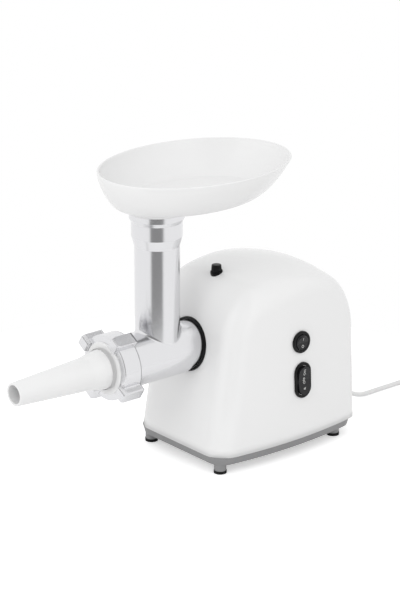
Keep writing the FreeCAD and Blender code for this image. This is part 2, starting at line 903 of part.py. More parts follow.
def sausage_funnel():
    # A tapering tube with a rounded shoulder, and a flange clamped between the nut's lip and the plate.
    flange_back = flange_front + flange_thickness - seat_gap / 4
    shoulder = nut_front - funnel_shoulder_length
    bend_y = (shoulder + nut_front) / 2
    bend_r = (funnel_mid_radius + funnel_shoulder_radius) / 2 + funnel_wall / 4
    tip_inner = funnel_tip_radius - funnel_wall
    mid_inner = funnel_mid_radius - funnel_wall
    base_inner = funnel_shoulder_radius - funnel_wall
    flange_radius = barrel_radius - seat_gap
    return turned((tip_inner, funnel_tip), [
        (funnel_tip_radius, funnel_tip), (funnel_mid_radius, shoulder),
        (bend_r, bend_y, funnel_shoulder_radius, nut_front),
        (funnel_shoulder_radius, flange_front + seat_gap / 4),
        (flange_radius, flange_front + seat_gap / 4), (flange_radius, flange_back),
        (base_inner, flange_back), (base_inner, nut_front),
        (bend_r - funnel_wall, bend_y, mid_inner, shoulder)])


# Tray

def tray_bowl(inset, bottom):
    # Oval sections from the floor to the rim. The wall curves out as a squashed quarter circle.
    wires = []
    for share in (0, 0.3, 0.65, 1):
        out = (1 - (1 - share) ** tray_curve) ** (1 / tray_curve)
        half_y = (tray_floor_length + (tray_length - tray_floor_length) * out) / 2 - inset
        half_x = (tray_floor_width + (tray_width - tray_floor_width) * out) / 2 - inset
        y = tray_floor_centre + (tray_centre - tray_floor_centre) * share
        z = bottom + (tray_rim - bottom) * share
        oval = Part.Ellipse(Vector(0, y + half_y, z), Vector(half_x, y, z), Vector(0, y, z))
        wires.append(Part.Wire(oval.toShape()))
    return Part.makeLoft(wires, True, False)


def feed_tray():
    outer = tray_bowl(0, tray_floor)
    inner = tray_bowl(tray_wall, tray_floor + tray_wall)
    spigot_radius = mouth_bore - seat_gap
    collar = turned_upright((0, tube_top - spigot_depth), [
        (spigot_radius, tube_top - spigot_depth), (spigot_radius, tube_top), (lip_radius, tube_top),
        (lip_radius + collar_flare, tray_floor + tray_wall / 2), (0,
                                                                  tray_floor + tray_wall / 2)], 0, tube_axis)
    throat = post(spigot_radius - tray_wall, tube_top - spigot_depth - 1, tray_rim, 0, tube_axis)
    return cut(joined(outer, collar), inner, throat)


# Switches, drawn face up at the origin with the panel at height zero

def power_switch():
    skirt = power_radius - switch_skirt
    bore = skirt - switch_skirt
    rim = post(power_radius, seat_gap, switch_rim)
    rim = rim.makeFillet(switch_rim / 3, [e for e in rim.Edges if abs(e.BoundBox.ZMin - switch_rim) < 0.01])
    body = post(skirt, -switch_depth, switch_rim - seat_gap)
    cavity = post(bore, -bore - 1, switch_rim + 1)
    solid = cut(joined(rim, body), cavity, pivot_pin(pivot_radius + run_gap, skirt))
    return place_on_side(joined(solid, *terminals(3)), power_place, power_height)


def terminals(count):
    blades = []
    for index in range(count):
        y = (index - (count - 1) / 2) * terminal_width
        blades.append(block(-terminal_width / 2, terminal_width / 2, y - terminal_thickness / 2,
                            y + terminal_thickness / 2, -switch_depth - terminal_length, -switch_depth))
    return blades


def rocker_roof(reach, tilt):
    # Two faces that rise from the middle to both ends, so that the pressed half lies level.
    valley = switch_rim + rocker_rise
    top = valley + reach * math.tan(math.radians(tilt))
    face = outline((-reach, -reach), [(reach, -reach), (reach, top), (0, valley), (-reach, top)],
                   lambda y, z: Vector(-reach, y, z))
    return face.extrude(Vector(2 * reach, 0, 0))


def pivot_pin(radius, reach):
    return Part.makeCylinder(radius, 2 * reach, Vector(-reach, 0, 0), Vector(1, 0, 0))


def power_rocker():
    bore = power_radius - 2 * switch_skirt
    dish = Part.makeSphere(bore - rocker_gap).common(rocker_roof(power_radius, power_tilt))
    dish = dish.common(post(power_radius, -bore / 2, power_radius))
    rocker = joined(dish, pivot_pin(pivot_radius, bore + switch_skirt / 2))
    rocker.rotate(Vector(0, 0, 0), Vector(1, 0, 0), power_tilt)
    return place_on_side(rocker, power_place, power_height)


def mode_switch():
    bore_width = mode_width - 4 * switch_skirt
    bore_length = mode_length - 4 * switch_skirt
    rim = stadium(mode_width, mode_length, seat_gap, switch_rim)
    rim = rim.makeFillet(switch_rim / 3, [e for e in rim.Edges if e.BoundBox.ZMin > switch_rim - 0.01])
    body = stadium(mode_width - 2 * switch_skirt, mode_length - 2 * switch_skirt, -switch_depth,
                   switch_rim - seat_gap)
    cavity = stadium(bore_width, bore_length, -bore_width / 2, switch_rim + 1)
    solid = cut(joined(rim, body), cavity, pivot_pin(pivot_radius + run_gap, mode_width / 2 - switch_skirt))
    return place_on_side(joined(solid, *terminals(4)), mode_place, mode_height)


def mode_rocker():
    bore_width = mode_width - 4 * switch_skirt
    bore_length = mode_length - 4 * switch_skirt
    tilt = math.radians(mode_tilt)
    swing = (switch_rim + rocker_rise + bore_length / 2 * math.tan(tilt)) * math.sin(tilt)
    slab = stadium(bore_width - 2 * rocker_gap, bore_length - 2 * (rocker_gap + swing), -bore_width / 4,
                   mode_width)
    slab = slab.common(rocker_roof(mode_length, mode_tilt))
    return place_on_side(joined(slab, pivot_pin(pivot_radius, (bore_width + switch_skirt) / 2)),
                         mode_place, mode_height)


# Gear train

def axle_places():
    # Second axle is set from the output axis, and the first axle closes the triangle to the motor.
    second = Vector(second_x, 0, second_z)
    motor = Vector(motor_x, 0, motor_z)
    span = motor - second
    along = (mid_reach ** 2 - fast_reach ** 2 + span.Length ** 2) / (2 * span.Length)
    aside = math.sqrt(mid_reach ** 2 - along ** 2)
    run = Vector(span).normalize()
    first = second + run * along + Vector(run.z, 0, -run.x) * aside
    return second, first, motor


def heading(start, end):
    return math.atan2(end.z - start.z, end.x - start.x)


def mesh_space(angle, teeth):
    # Tooth angle of a wheel that shows a space where its partner's tooth points back at it.
    return angle + math.pi + math.pi / teeth


def spacers(place, start, end):
    # Sleeves that reach from a gear to the case in front and to the cover behind.
    hole = rod(axle_radius + run_gap, 0, body_depth, place.x, place.z)
    ahead = rod(hub_radius, case_inside + seat_gap, start, place.x, place.z)
    behind = rod(hub_radius, end, cover_front - seat_gap, place.x, place.z)
    return cut(ahead, hole), cut(behind, hole)


def gear_train():
    second, first, motor = axle_places()
    output = Vector(0, 0, axis_height)
    slow = heading(second, output)
    mid = heading(first, second)
    fast = heading(motor, first)
    hub = axle_radius + run_gap
    made = {}
    made["output_gear"] = gear(slow_module, slow_wheel_teeth, slow_width, gear_seat_radius, slow_plane,
                               output.x,
                               output.z, mesh_space(slow, slow_wheel_teeth))
    slow_pinion = gear(slow_module, slow_pinion_teeth, slow_width + gear_gap, hub, slow_plane, second.x,
                       second.z, slow)
    mid_wheel = gear(mid_module, mid_wheel_teeth, mid_width, hub, mid_plane, second.x, second.z,
                     mesh_space(mid, mid_wheel_teeth))
    made["second_gear"] = joined(slow_pinion, mid_wheel, *spacers(second, slow_plane, mid_plane + mid_width))
    mid_pinion = gear(mid_module, mid_pinion_teeth, mid_width + gear_gap, hub, mid_plane, first.x,
                      first.z, mid)
    fast_wheel = gear(fast_module, fast_wheel_teeth, fast_width, hub, fast_plane, first.x, first.z,
                      mesh_space(fast, fast_wheel_teeth))
    made["first_gear"] = joined(mid_pinion, fast_wheel, *spacers(first, mid_plane, fast_plane + fast_width))
    made["motor_pinion"] = gear(fast_module, fast_pinion_teeth, fast_width, shaft_radius, fast_plane,
                                motor.x, motor.z,
                                fast)
    return made


def case_discs(grow, start, end):
    second, first, motor = axle_places()
    discs = []
    for place, module, teeth in ((Vector(0, 0, axis_height), slow_module, slow_wheel_teeth),
                                 (second, mid_module, mid_wheel_teeth), (first, fast_module,
                                                                         fast_wheel_teeth),
                                 (motor, fast_module, fast_pinion_teeth)):
        radius = module * (teeth / 2 + tooth_addendum) + case_room + grow
        discs.append(rod(radius, start, end, place.x, place.z))
    return joined(*discs)


def ear_places():
    second, first, motor = axle_places()
    spots = []
    for place, module, teeth, angle in ((Vector(0, 0, axis_height), slow_module, slow_wheel_teeth, 35),
                                        (Vector(0, 0, axis_height), slow_module, slow_wheel_teeth, 145),
                                        (second, mid_module, mid_wheel_teeth, 190),
                                        (first, fast_module, fast_wheel_teeth, 200)):
        reach = module * (teeth / 2 + tooth_addendum) + case_room + ear_radius
        turn = math.radians(angle)
        spots.append((place.x + reach * math.cos(turn), place.z + reach * math.sin(turn)))
    return spots


def case_foot(bottom, top):
    # The block under the gear case, centred below the first axle.
    first = axle_places()[1]
    half = case_foot_width / 2
    return block(first.x - half, first.x + half, case_front + case_foot_inset,
                 cover_front - case_foot_inset, bottom,
                 top)


def gear_case():
    second, first, motor = axle_places()
    shell = case_discs(case_wall, case_front, cover_front)
    ears = [rod(ear_radius, case_front, cover_front, x, z) for x, z in ear_places()]
    shell = joined(shell, case_foot(carrier_pad_top, first.z), *ears)
    room = case_discs(0, case_inside, cover_front + 1)
    boss = rod(coupling_radius + bush_wall + case_wall, case_front, case_front + bush_length)
    solid = joined(cut(shell, room), boss)
    holes = [rod(coupling_radius + bush_wall, case_front - 1, case_front + bush_length + 1)]
    for place in (second, first):
        holes.append(rod(axle_radius, case_front + case_wall / 3, case_inside + 1, place.x, place.z))
    for x, z in ear_places():
        holes.append(rod(screw_radius, cover_front - screw_bite, cover_front + 1, x, z))
    return cut(solid, *holes)


def gear_cover():
    second, first, motor = axle_places()
    plate = case_discs(case_wall, cover_front, cover_back)
    ears = [rod(ear_radius, cover_front, cover_back, x, z) for x, z in ear_places()]
    half = motor_screw_spread / 2 + pillar_radius
    bridge = block(motor.x - half, motor.x + half, cover_front, cover_back, motor.z - bearing_radius,
                   motor.z + bearing_radius)
    nest = rod(bearing_radius + case_wall, cover_front, cover_back + bearing_width - 1, motor.x, motor.z)
    pillars = [rod(pillar_radius, cover_front, stator_front, x, motor.z) for x in motor_screw_places()]
    solid = joined(plate, bridge, nest, *ears, *pillars)
    holes = [rod(bearing_radius, cover_back - 1, cover_back + bearing_width, motor.x, motor.z)]
    holes.append(rod(shaft_radius + 1, cover_front - 1, cover_back, motor.x, motor.z))
    holes.append(rod(tail_radius + run_gap, cover_front - 1, cover_back + 1))
    for place in (second, first):
        holes.append(rod(axle_radius, cover_front - 1, cover_back - case_wall / 3, place.x, place.z))
    for x, z in ear_places():
        holes.append(rod(screw_radius + seat_gap, cover_front - 1, cover_back + 1, x, z))
    for x in motor_screw_places():
        holes.append(rod(screw_radius, stator_front - screw_bite, stator_front + 1, x, motor.z))
    return cut(solid, *holes)


def gear_case_screws():
    made = []
    for x, z in ear_places():
        shank = rod(screw_radius, cover_front - screw_bite + 1, cover_back, x, z)
        made.append(joined(shank, rod(screw_head_radius, cover_back, cover_back + screw_head_height, x, z)))
    return made


def axle(place):
    return rod(axle_radius, case_front + case_wall / 3, cover_back - case_wall / 3, place.x, place.z)


def drive_coupling():
    nose = rod(coupling_radius, case_front - washer_thickness, case_front + bush_length + gear_gap)
    seat = rod(gear_seat_radius, case_front + bush_length, slow_plane + slow_width)
    tail = rod(tail_radius, slow_plane, cover_back)
    half = square_size / 2 + seat_gap
    socket = block(-half, half, case_front - washer_thickness - 1, drive_end + seat_gap, axis_height - half,
                   axis_height + half).common(rod(drive_radius + seat_gap, 0, drive_end + 1))
    return cut(joined(nose, seat, tail), socket)


def output_bush():
    return cut(rod(coupling_radius + bush_wall, case_front, case_front + bush_length),
               rod(coupling_radius + run_gap, 0, middle))


# Motor

def motor_screw_places():
    return (motor_x - motor_screw_spread / 2, motor_x + motor_screw_spread / 2)


def motor_shaft():
    return rod(shaft_radius, fast_plane - gear_gap / 2, bracket_back, motor_x, motor_z)


def stator_core():
    half_x = stator_width / 2
    half_z = stator_height / 2
    core = block(motor_x - half_x, motor_x + half_x, stator_front, stator_back, motor_z - half_z,
                 motor_z + half_z)
    core = core.makeFillet(stator_corner, [e for e in core.Edges if e.BoundBox.YLength > 1])
    bore = armature_radius + air_gap
    holes = [rod(bore, stator_front - 1, stator_back + 1, motor_x, motor_z)]
    for side in (-1, 1):
        sides = sorted((motor_x + side * bore * pole_share, motor_x + side * (bore + coil_thickness)))
        holes.append(block(*sides, stator_front - 1, stator_back + 1, motor_z - bore * window_share,
                           motor_z + bore * window_share))
    for x in motor_screw_places():
        holes.append(rod(screw_radius + seat_gap, stator_front - 1, stator_back + 1, x, motor_z))
    return cut(core, *holes)


def field_coils():
    # One saddle winding above and one below: legs in the windows beside the poles, arched over the ends.
    bore = armature_radius + air_gap
    ring = cut(rod(bore + coil_thickness - seat_gap, stator_front - coil_overhang,
                   stator_back + coil_overhang, motor_x,
                   motor_z), rod(bore + seat_gap, 0, body_depth, motor_x, motor_z))
    made = []
    for side in (-1, 1):
        pole = pole_share * bore + seat_gap
        window = window_share * bore - seat_gap
        start = stator_front - seat_gap
        end = stator_back + seat_gap
        tools = [block(motor_x - pole, motor_x + pole, start, end, 0, body_depth),
                 block(-body_depth, body_depth, start, end, motor_z + window, body_depth),
                 block(-body_depth, body_depth, start, end, -body_depth, motor_z - window)]
        gap = side * bore * coil_parting
        half = block(-body_depth, body_depth, 0, body_depth,
                     *sorted((motor_z + gap, motor_z + side * body_depth)))
        made.append(cut(ring.common(half), *tools))
    return made


def armature_core():
    core = cut(rod(armature_radius, stator_front, stator_back, motor_x, motor_z),
               rod(shaft_radius, stator_front - 1, stator_back + 1, motor_x, motor_z))
    slots = []
    for index in range(armature_slots):
        slot = block(motor_x + armature_radius - slot_depth, motor_x + armature_radius + 1, stator_front - 1,
                     stator_back + 1, motor_z - slot_width / 2, motor_z + slot_width / 2)
        slot.rotate(Vector(motor_x, 0, motor_z), back, index * 360 / armature_slots)
        slots.append(slot)
    return cut(core, *slots)


def armature_winding():
    # End turns, rounded where they bulge past the core.
    made = []
    outer = armature_radius - 2 * air_gap
    for start, way in ((stator_front, -1), (stator_back, 1)):
        end = start + way * coil_overhang
        middle_y = start + way * coil_overhang * 0.75
        made.append(turned((shaft_radius + 1, start), [(outer, start),
                                                       (outer, start + way * coil_overhang / 3),
                           (outer - 2, middle_y, outer - slot_depth, end), (shaft_radius + 1,
                                                                            end)], motor_x, motor_z))
    return made


def commutator():
    start = stator_back + coil_overhang
    end = bracket_front - air_gap
    sleeve = cut(rod(commutator_radius, start, end, motor_x, motor_z),
                 rod(shaft_radius, start - 1, end + 1, motor_x, motor_z))
    return sleeve


def cooling_fan():
    start = cover_back + bearing_width + gear_gap
    hub = rod(2 * shaft_radius, start, start + fan_width, motor_x, motor_z)
    disc = rod(fan_radius, start, start + fan_disc, motor_x, motor_z)
    blades = []
    for index in range(fan_blades):
        vane = block(motor_x + shaft_radius, motor_x + fan_radius - fan_disc, start, start + fan_width,
                     motor_z - vane_thickness / 2, motor_z + vane_thickness / 2)
        vane.rotate(Vector(motor_x, 0, motor_z), back, index * 360 / fan_blades)
        blades.append(vane)
    return cut(joined(hub, disc, *blades), rod(shaft_radius, start - 1, start + fan_width + 1, motor_x,
                                               motor_z))


def bearing(start, width):
    return cut(rod(bearing_radius, start, start + width, motor_x, motor_z),
               rod(shaft_radius + run_gap, start - 1, start + width + 1, motor_x, motor_z))


def rear_bracket():
    half = motor_screw_spread / 2 + pillar_radius
    bar = block(motor_x - half, motor_x + half, bracket_front, bracket_back, motor_z - pillar_radius,
                motor_z + pillar_radius)
    nest = rod(bearing_radius + case_wall, bracket_front, bracket_back, motor_x, motor_z)
    foot = block(motor_x - pillar_radius, motor_x + pillar_radius, bracket_front, bracket_back,
                 carrier_pad_top,
                 motor_z + commutator_radius + brush_length + brush_shell)
    pillars = [rod(pillar_radius, stator_back, bracket_back, x, motor_z) for x in motor_screw_places()]
    solid = joined(bar, nest, foot, *pillars)
    holes = [rod(bearing_radius, bracket_front - 1, bracket_back + 1, motor_x, motor_z)]
    for x in motor_screw_places():
        holes.append(rod(screw_radius + seat_gap, stator_back - 1, bracket_back + 1, x, motor_z))
    return cut(solid, *holes)


def motor_screws():
    made = []
    for x in motor_screw_places():
        shank = rod(screw_radius, stator_front - screw_bite + 1, bracket_back, x, motor_z)
        made.append(joined(shank, rod(screw_head_radius, bracket_back, bracket_back + screw_head_height,
                                      x, motor_z)))
    return made


def brush_spans(side):
    # Heights of the carbon and of the holder's shell on one side of the commutator.
    start = commutator_radius + run_gap
    end = commutator_radius + brush_length
    carbon = sorted((motor_z + side * start, motor_z + side * end))
    shell = sorted((motor_z + side * (start + brush_shell), motor_z + side * (end + brush_shell)))
    return carbon, shell


def brush_block(grow, end, heights):
    half = brush_width / 2 + grow
    centre = stator_back + coil_overhang + commutator_length / 2
    return block(motor_x - half, motor_x + half, centre - half, end, *heights)


def carbon_brushes():
    end = stator_back + coil_overhang + (commutator_length + brush_width) / 2
    return [brush_block(0, end, brush_spans(side)[0]) for side in (-1, 1)]


def brush_holders():
    # Boxes that stand on the bracket above and below the commutator, each open towards it.
    made = []
    end = stator_back + coil_overhang + (commutator_length + brush_width) / 2
    for side in (-1, 1):
        carbon, shell = brush_spans(side)
        room = brush_block(run_gap, end + run_gap, (carbon[0] - run_gap, carbon[1] + run_gap))
        made.append(cut(brush_block(brush_shell, bracket_front, shell), room))
    return made


# Lead

def cord_gland():
    # A ribbed taper that stands in a hole in the back wall, with the cord let into its tip.
    steps = [(gland_base_radius, body_depth - gland_inside),
             (gland_base_radius, body_depth + gland_grooves / 2)]
    rib = (gland_length - gland_grooves) / (2 * gland_grooves)
    y = body_depth + gland_grooves / 2
    for index in range(gland_grooves):
        share = (index + 1) / (gland_grooves + 1)
        radius = gland_base_radius + (gland_tip_radius - gland_base_radius) * share
        y += rib
        steps += [(radius - groove_depth, y), (radius - groove_depth, y + rib), (radius, y + rib)]
        steps.insert(-3, (steps[-4][0], y))
        y += rib
    steps += [(gland_tip_radius, gland_tip), (0, gland_tip)]
    solid = turned((0, body_depth - gland_inside), steps, 0, cord_exit_height)
    return cut(solid, rod(cord_radius + seat_gap / 2, gland_tip - cord_grip, gland_tip + 1, 0,
                          cord_exit_height))


def cord_route():
    # From the gland down to the floor, then back to where the coil begins.
    drop = cord_exit_height
    floor = cord_radius
    return [
        Vector(0, gland_tip - cord_grip, drop),
        Vector(0, gland_tip, drop),
        Vector(0, gland_tip + 9, drop - 0.7),
        Vector(0, gland_tip + 19, drop - 4.4),
        Vector(0, gland_tip + 29, drop - 11.2),
        Vector(0, gland_tip + 39, floor + 4.3),
        Vector(0, gland_tip + 50, floor + 0.7),
        Vector(-1.2, gland_tip + 67, floor),
        Vector(-1, gland_tip + 93, floor),
        Vector(-0.6, gland_tip + 121, floor + 0.1),
        Vector(0, lead_start - 19, coil_low),
        Vector(0, lead_start, coil_low),
    ]


def rounded_route(points):
    # Straight runs joined by arcs that touch both neighbours.
    edges = []
    radii = []
    here = points[0]
    for before, corner, after in zip(points, points[1:], points[2:]):
        way_in = (corner - before).normalize()
        way_out = (after - corner).normalize()
        leg = bend_share * min(before.distanceToPoint(corner), corner.distanceToPoint(after))
        radii.append(leg / math.tan(way_in.getAngle(way_out) / 2))
        edges.append(Part.makeLine(here, corner - way_in * leg))
        here = corner + way_out * leg
        edges.append(bend(corner - way_in * leg, way_in, here))
    edges.append(Part.makeLine(here, points[-1]))
    print("bend radii", [round(r, 1) for r in radii])
    return edges


def cord():
    return pipe(rounded_route(cord_route()), cord_radius)


def coil_path():
    # Half turns that wind in on the floor, climb once in the middle and wind out again on top.
    turns_in = coil_half_turns // 2
    radii = [coil_radius - coil_pitch / 2 * k for k in range(turns_in)]
    climb = coil_radius - coil_pitch / 2 * turns_in
    x = 0.0
    z = coil_low
    way = 1
    edges = [Part.makeLine(Vector(0, lead_start, z), Vector(0, coil_start, z))]

    def half_turn(radius):
        side = way
        return Part.Arc(Vector(x, coil_start, z), Vector(x + side * radius, coil_start + side * radius, z),
                        Vector(x + 2 * side * radius, coil_start, z)).toShape()

    for radius in radii:
        edges.append(half_turn(radius))
        x += 2 * way * radius
        way = -way
    slope = Vector(way, 0, coil_pitch / (math.pi * climb) * 1.5).normalize()
    crest = Vector(x + way * climb, coil_start + way * climb, (coil_low + coil_high) / 2)
    end = Vector(x + 2 * way * climb, coil_start, coil_high)
    edges += biarc(Vector(x, coil_start, coil_low), Vector(0, way, 0), crest, slope)
    edges += biarc(crest, slope, end, Vector(0, -way, 0))
    x = end.x
    z = coil_high
    way = -way
    for radius in reversed(radii):
        edges.append(half_turn(radius))
        x += 2 * way * radius
        way = -way
    tail = Vector(x, coil_start - plug_tail - cord_grip, z)
    edges.append(Part.makeLine(Vector(x, coil_start, z), tail))
    return edges, tail


def cord_coil():
    edges, tail = coil_path()
    print("coil gap to itself", round(own_gap(edges, cord_diameter, 24), 2))
    print("coil length", round(sum(edge.Length for edge in edges)))
    return pipe(edges, cord_radius)


def cord_tie():
    # A flat band round the bundle on the side away from the grinder.
    x = coil_radius + coil_pitch / 2
    inner_turn = coil_radius - coil_pitch / 2 * (coil_half_turns // 2 - 1)
    lean = x - coil_radius + tie_width / 2
    near = coil_start + math.sqrt((inner_turn - cord_radius) ** 2 - lean ** 2) - tie_gap
    far = coil_start + coil_radius + cord_radius + tie_gap
    low = coil_low - cord_radius - tie_gap
    high = coil_high + cord_radius + tie_gap

    def band(grow):
        solid = block(x - tie_width / 2, x + tie_width / 2, near - grow, far + grow, low - grow, high + grow)
        return solid.makeFillet(tie_thickness + grow, [e for e in solid.Edges if e.BoundBox.XLength > 1])

    return cut(band(tie_thickness), band(0))


def plug():
    tail = coil_path()[1]
    relief_start = tail.y + cord_grip
    body_start = relief_start - plug_relief
    half = plug_width / 2
    body = block(tail.x - half, tail.x + half, body_start - plug_length, body_start, 0, 2 * tail.z)
    body = body.makeFillet(plug_round, [e for e in body.Edges if e.BoundBox.YLength > 1])
    body = body.makeFillet(plug_round / 3, [e for e in body.Edges if e.BoundBox.YLength < 0.1])
    relief = Part.makeCone(2 * cord_diameter * 0.75, cord_diameter * 0.8, plug_relief,
                           Vector(tail.x, body_start, tail.z), back)
    hole = rod(cord_radius + run_gap, tail.y, relief_start + 1, tail.x, tail.z)
    holes = [rod(pin_diameter / 2, body_start - plug_length - 1, body_start - plug_length + pin_grip, x,
                 tail.z)
             for x in pin_places()]
    return cut(joined(body, relief), hole, *holes)


def pin_places():
    tail = coil_path()[1]
    return (tail.x - pin_spread / 2, tail.x + pin_spread / 2)


def plug_pins():
    tail = coil_path()[1]
    face = tail.y + cord_grip - plug_relief - plug_length
    made = []
    for x in pin_places():
        pin = rod(pin_diameter / 2, face - pin_length, face + pin_grip, x, tail.z)
        tip_edges = [e for e in pin.Edges if e.BoundBox.YMax < face - pin_length + 0.1]
        made.append(pin.makeFillet(pin_diameter / 5, tip_edges))
    return made


os.makedirs("parts", exist_ok=True)
save("housing", housing())
save("base_plate", base_plate())
save("foot_pads", *foot_pads())
save("base_screws", *base_screws())
save("socket_ring", socket_ring())
save("lock_bezel", lock_bezel())
save("lock_button", lock_button())
save("lock_spring", lock_spring())
save("latch_hook", latch_hook())
save("grinder_head", grinder_head())
save("grinding_plate", grinding_plate())
save("cutting_blade", cutting_blade())
save("auger", auger())
save("auger_drive", auger_drive())
save("auger_washer", auger_washer())
save("ring_nut", ring_nut())
save("sausage_funnel", sausage_funnel())
save("feed_tray", feed_tray())
save("power_switch", power_switch())
save("power_rocker", power_rocker())
save("mode_switch", mode_switch())
save("mode_rocker", mode_rocker())
for name, solid in gear_train().items():
    save(name, solid)
second_place, first_place, motor_place = axle_places()
save("second_axle", axle(second_place))
save("first_axle", axle(first_place))
save("gear_case", gear_case())
save("gear_cover", gear_cover())
save("gear_case_screws", *gear_case_screws())
save("drive_coupling", drive_coupling())
save("output_bush", output_bush())
save("motor_shaft", motor_shaft())
save("stator_core", stator_core())
save("field_coils", *field_coils())
save("armature_core", armature_core())
save("armature_winding", *armature_winding())
save("commutator", commutator())
save("cooling_fan", cooling_fan())
save("front_bearing", bearing(cover_back, bearing_width))
save("rear_bearing", bearing(bracket_front, bracket_thickness))
save("rear_bracket", rear_bracket())
save("brush_holders", *brush_holders())
save("carbon_brushes", *carbon_brushes())
save("motor_screws", *motor_screws())
save("cord_gland", cord_gland())
save("cord", cord())
save("cord_coil", cord_coil())
save("cord_tie", cord_tie())
save("plug", plug())
save("plug_pins", *plug_pins())
print("second axle", second_place, "first axle", first_place)
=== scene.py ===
import json
import math
import bmesh
import bpy
import numpy as np
from mathutils import Matrix


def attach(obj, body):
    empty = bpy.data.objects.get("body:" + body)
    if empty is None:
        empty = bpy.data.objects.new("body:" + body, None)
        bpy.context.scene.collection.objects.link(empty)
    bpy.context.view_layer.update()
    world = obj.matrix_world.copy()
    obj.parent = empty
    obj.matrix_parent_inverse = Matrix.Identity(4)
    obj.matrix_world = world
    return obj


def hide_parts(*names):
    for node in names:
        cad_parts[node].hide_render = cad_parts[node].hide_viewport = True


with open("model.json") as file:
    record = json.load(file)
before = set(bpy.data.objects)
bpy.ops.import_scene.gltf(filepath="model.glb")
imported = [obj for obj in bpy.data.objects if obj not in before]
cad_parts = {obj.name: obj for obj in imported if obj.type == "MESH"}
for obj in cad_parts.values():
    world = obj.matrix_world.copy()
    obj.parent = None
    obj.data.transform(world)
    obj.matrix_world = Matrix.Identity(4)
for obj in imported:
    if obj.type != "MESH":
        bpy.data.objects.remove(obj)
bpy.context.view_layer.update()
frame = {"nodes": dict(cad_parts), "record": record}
nodes = frame["nodes"]
scene = bpy.context.scene
mm = 0.001
weld = 1e-6  # m, points of a skin that lie closer than this become one
shift = 5.0  # mm from the frame's origin back to the housing's front edge, where every y below starts
axisHeight = 120.8  # mm, the axis of the barrel, the nut and the funnel
tubeAxis = -23.4  # mm, where the upright feed tube stands
print("frame loaded")


def linear(code):  # an sRGB colour code as linear values
    parts = [int(code[i:i + 2], 16) / 255 for i in (1, 3, 5)]
    return [p / 12.92 if p <= 0.04045 else ((p + 0.055) / 1.055) ** 2.4 for p in parts] + [1.0]


def addNode(tree, kind, settings=None, values=None, links=None):
    node = tree.nodes.new(kind)
    for name, value in (settings or {}).items():
        setattr(node, name, value)
    for name, value in (values or {}).items():
        node.inputs[name].default_value = value
    for name, source in (links or {}).items():
        tree.links.new(source, node.inputs[name])
    return node


usual = {"metal": 0.0, "specular": 0.5, "stretch": (1, 1, 1), "detail": 3.0, "spread": 0.05, "height": 0.02}


def makeMaterial(name, look):  # a look has the usual values unless it gives its own
    look = {**usual, **look}
    mat = bpy.data.materials.new(name)
    mat.use_nodes = True
    tree = mat.node_tree
    shader = tree.nodes["Principled BSDF"]
    shader.inputs["Base Color"].default_value = linear(look["colour"])
    shader.inputs["Roughness"].default_value = look["rough"]
    shader.inputs["Metallic"].default_value = look["metal"]
    shader.inputs["Specular IOR Level"].default_value = look["specular"]
    place = addNode(tree, "ShaderNodeTexCoord").outputs["Object"]
    grain = addNode(tree, "ShaderNodeMapping", {}, {"Scale": look["stretch"]}, {"Vector": place})
    speckle = {"Scale": 1 / (look["grain"] * mm), "Detail": look["detail"]}
    noise = addNode(tree, "ShaderNodeTexNoise", {}, speckle, {"Vector": grain.outputs["Vector"]})
    limits = {"To Min": look["rough"] - look["spread"], "To Max": look["rough"] + look["spread"]}
    rough = addNode(tree, "ShaderNodeMapRange", {}, limits, {"Value": noise.outputs["Fac"]})
    tree.links.new(rough.outputs["Result"], shader.inputs["Roughness"])
    relief = {"Strength": look["bump"], "Distance": look["height"] * mm}
    bump = addNode(tree, "ShaderNodeBump", {}, relief, {"Height": noise.outputs["Fac"]})
    tree.links.new(bump.outputs["Normal"], shader.inputs["Normal"])
    return mat


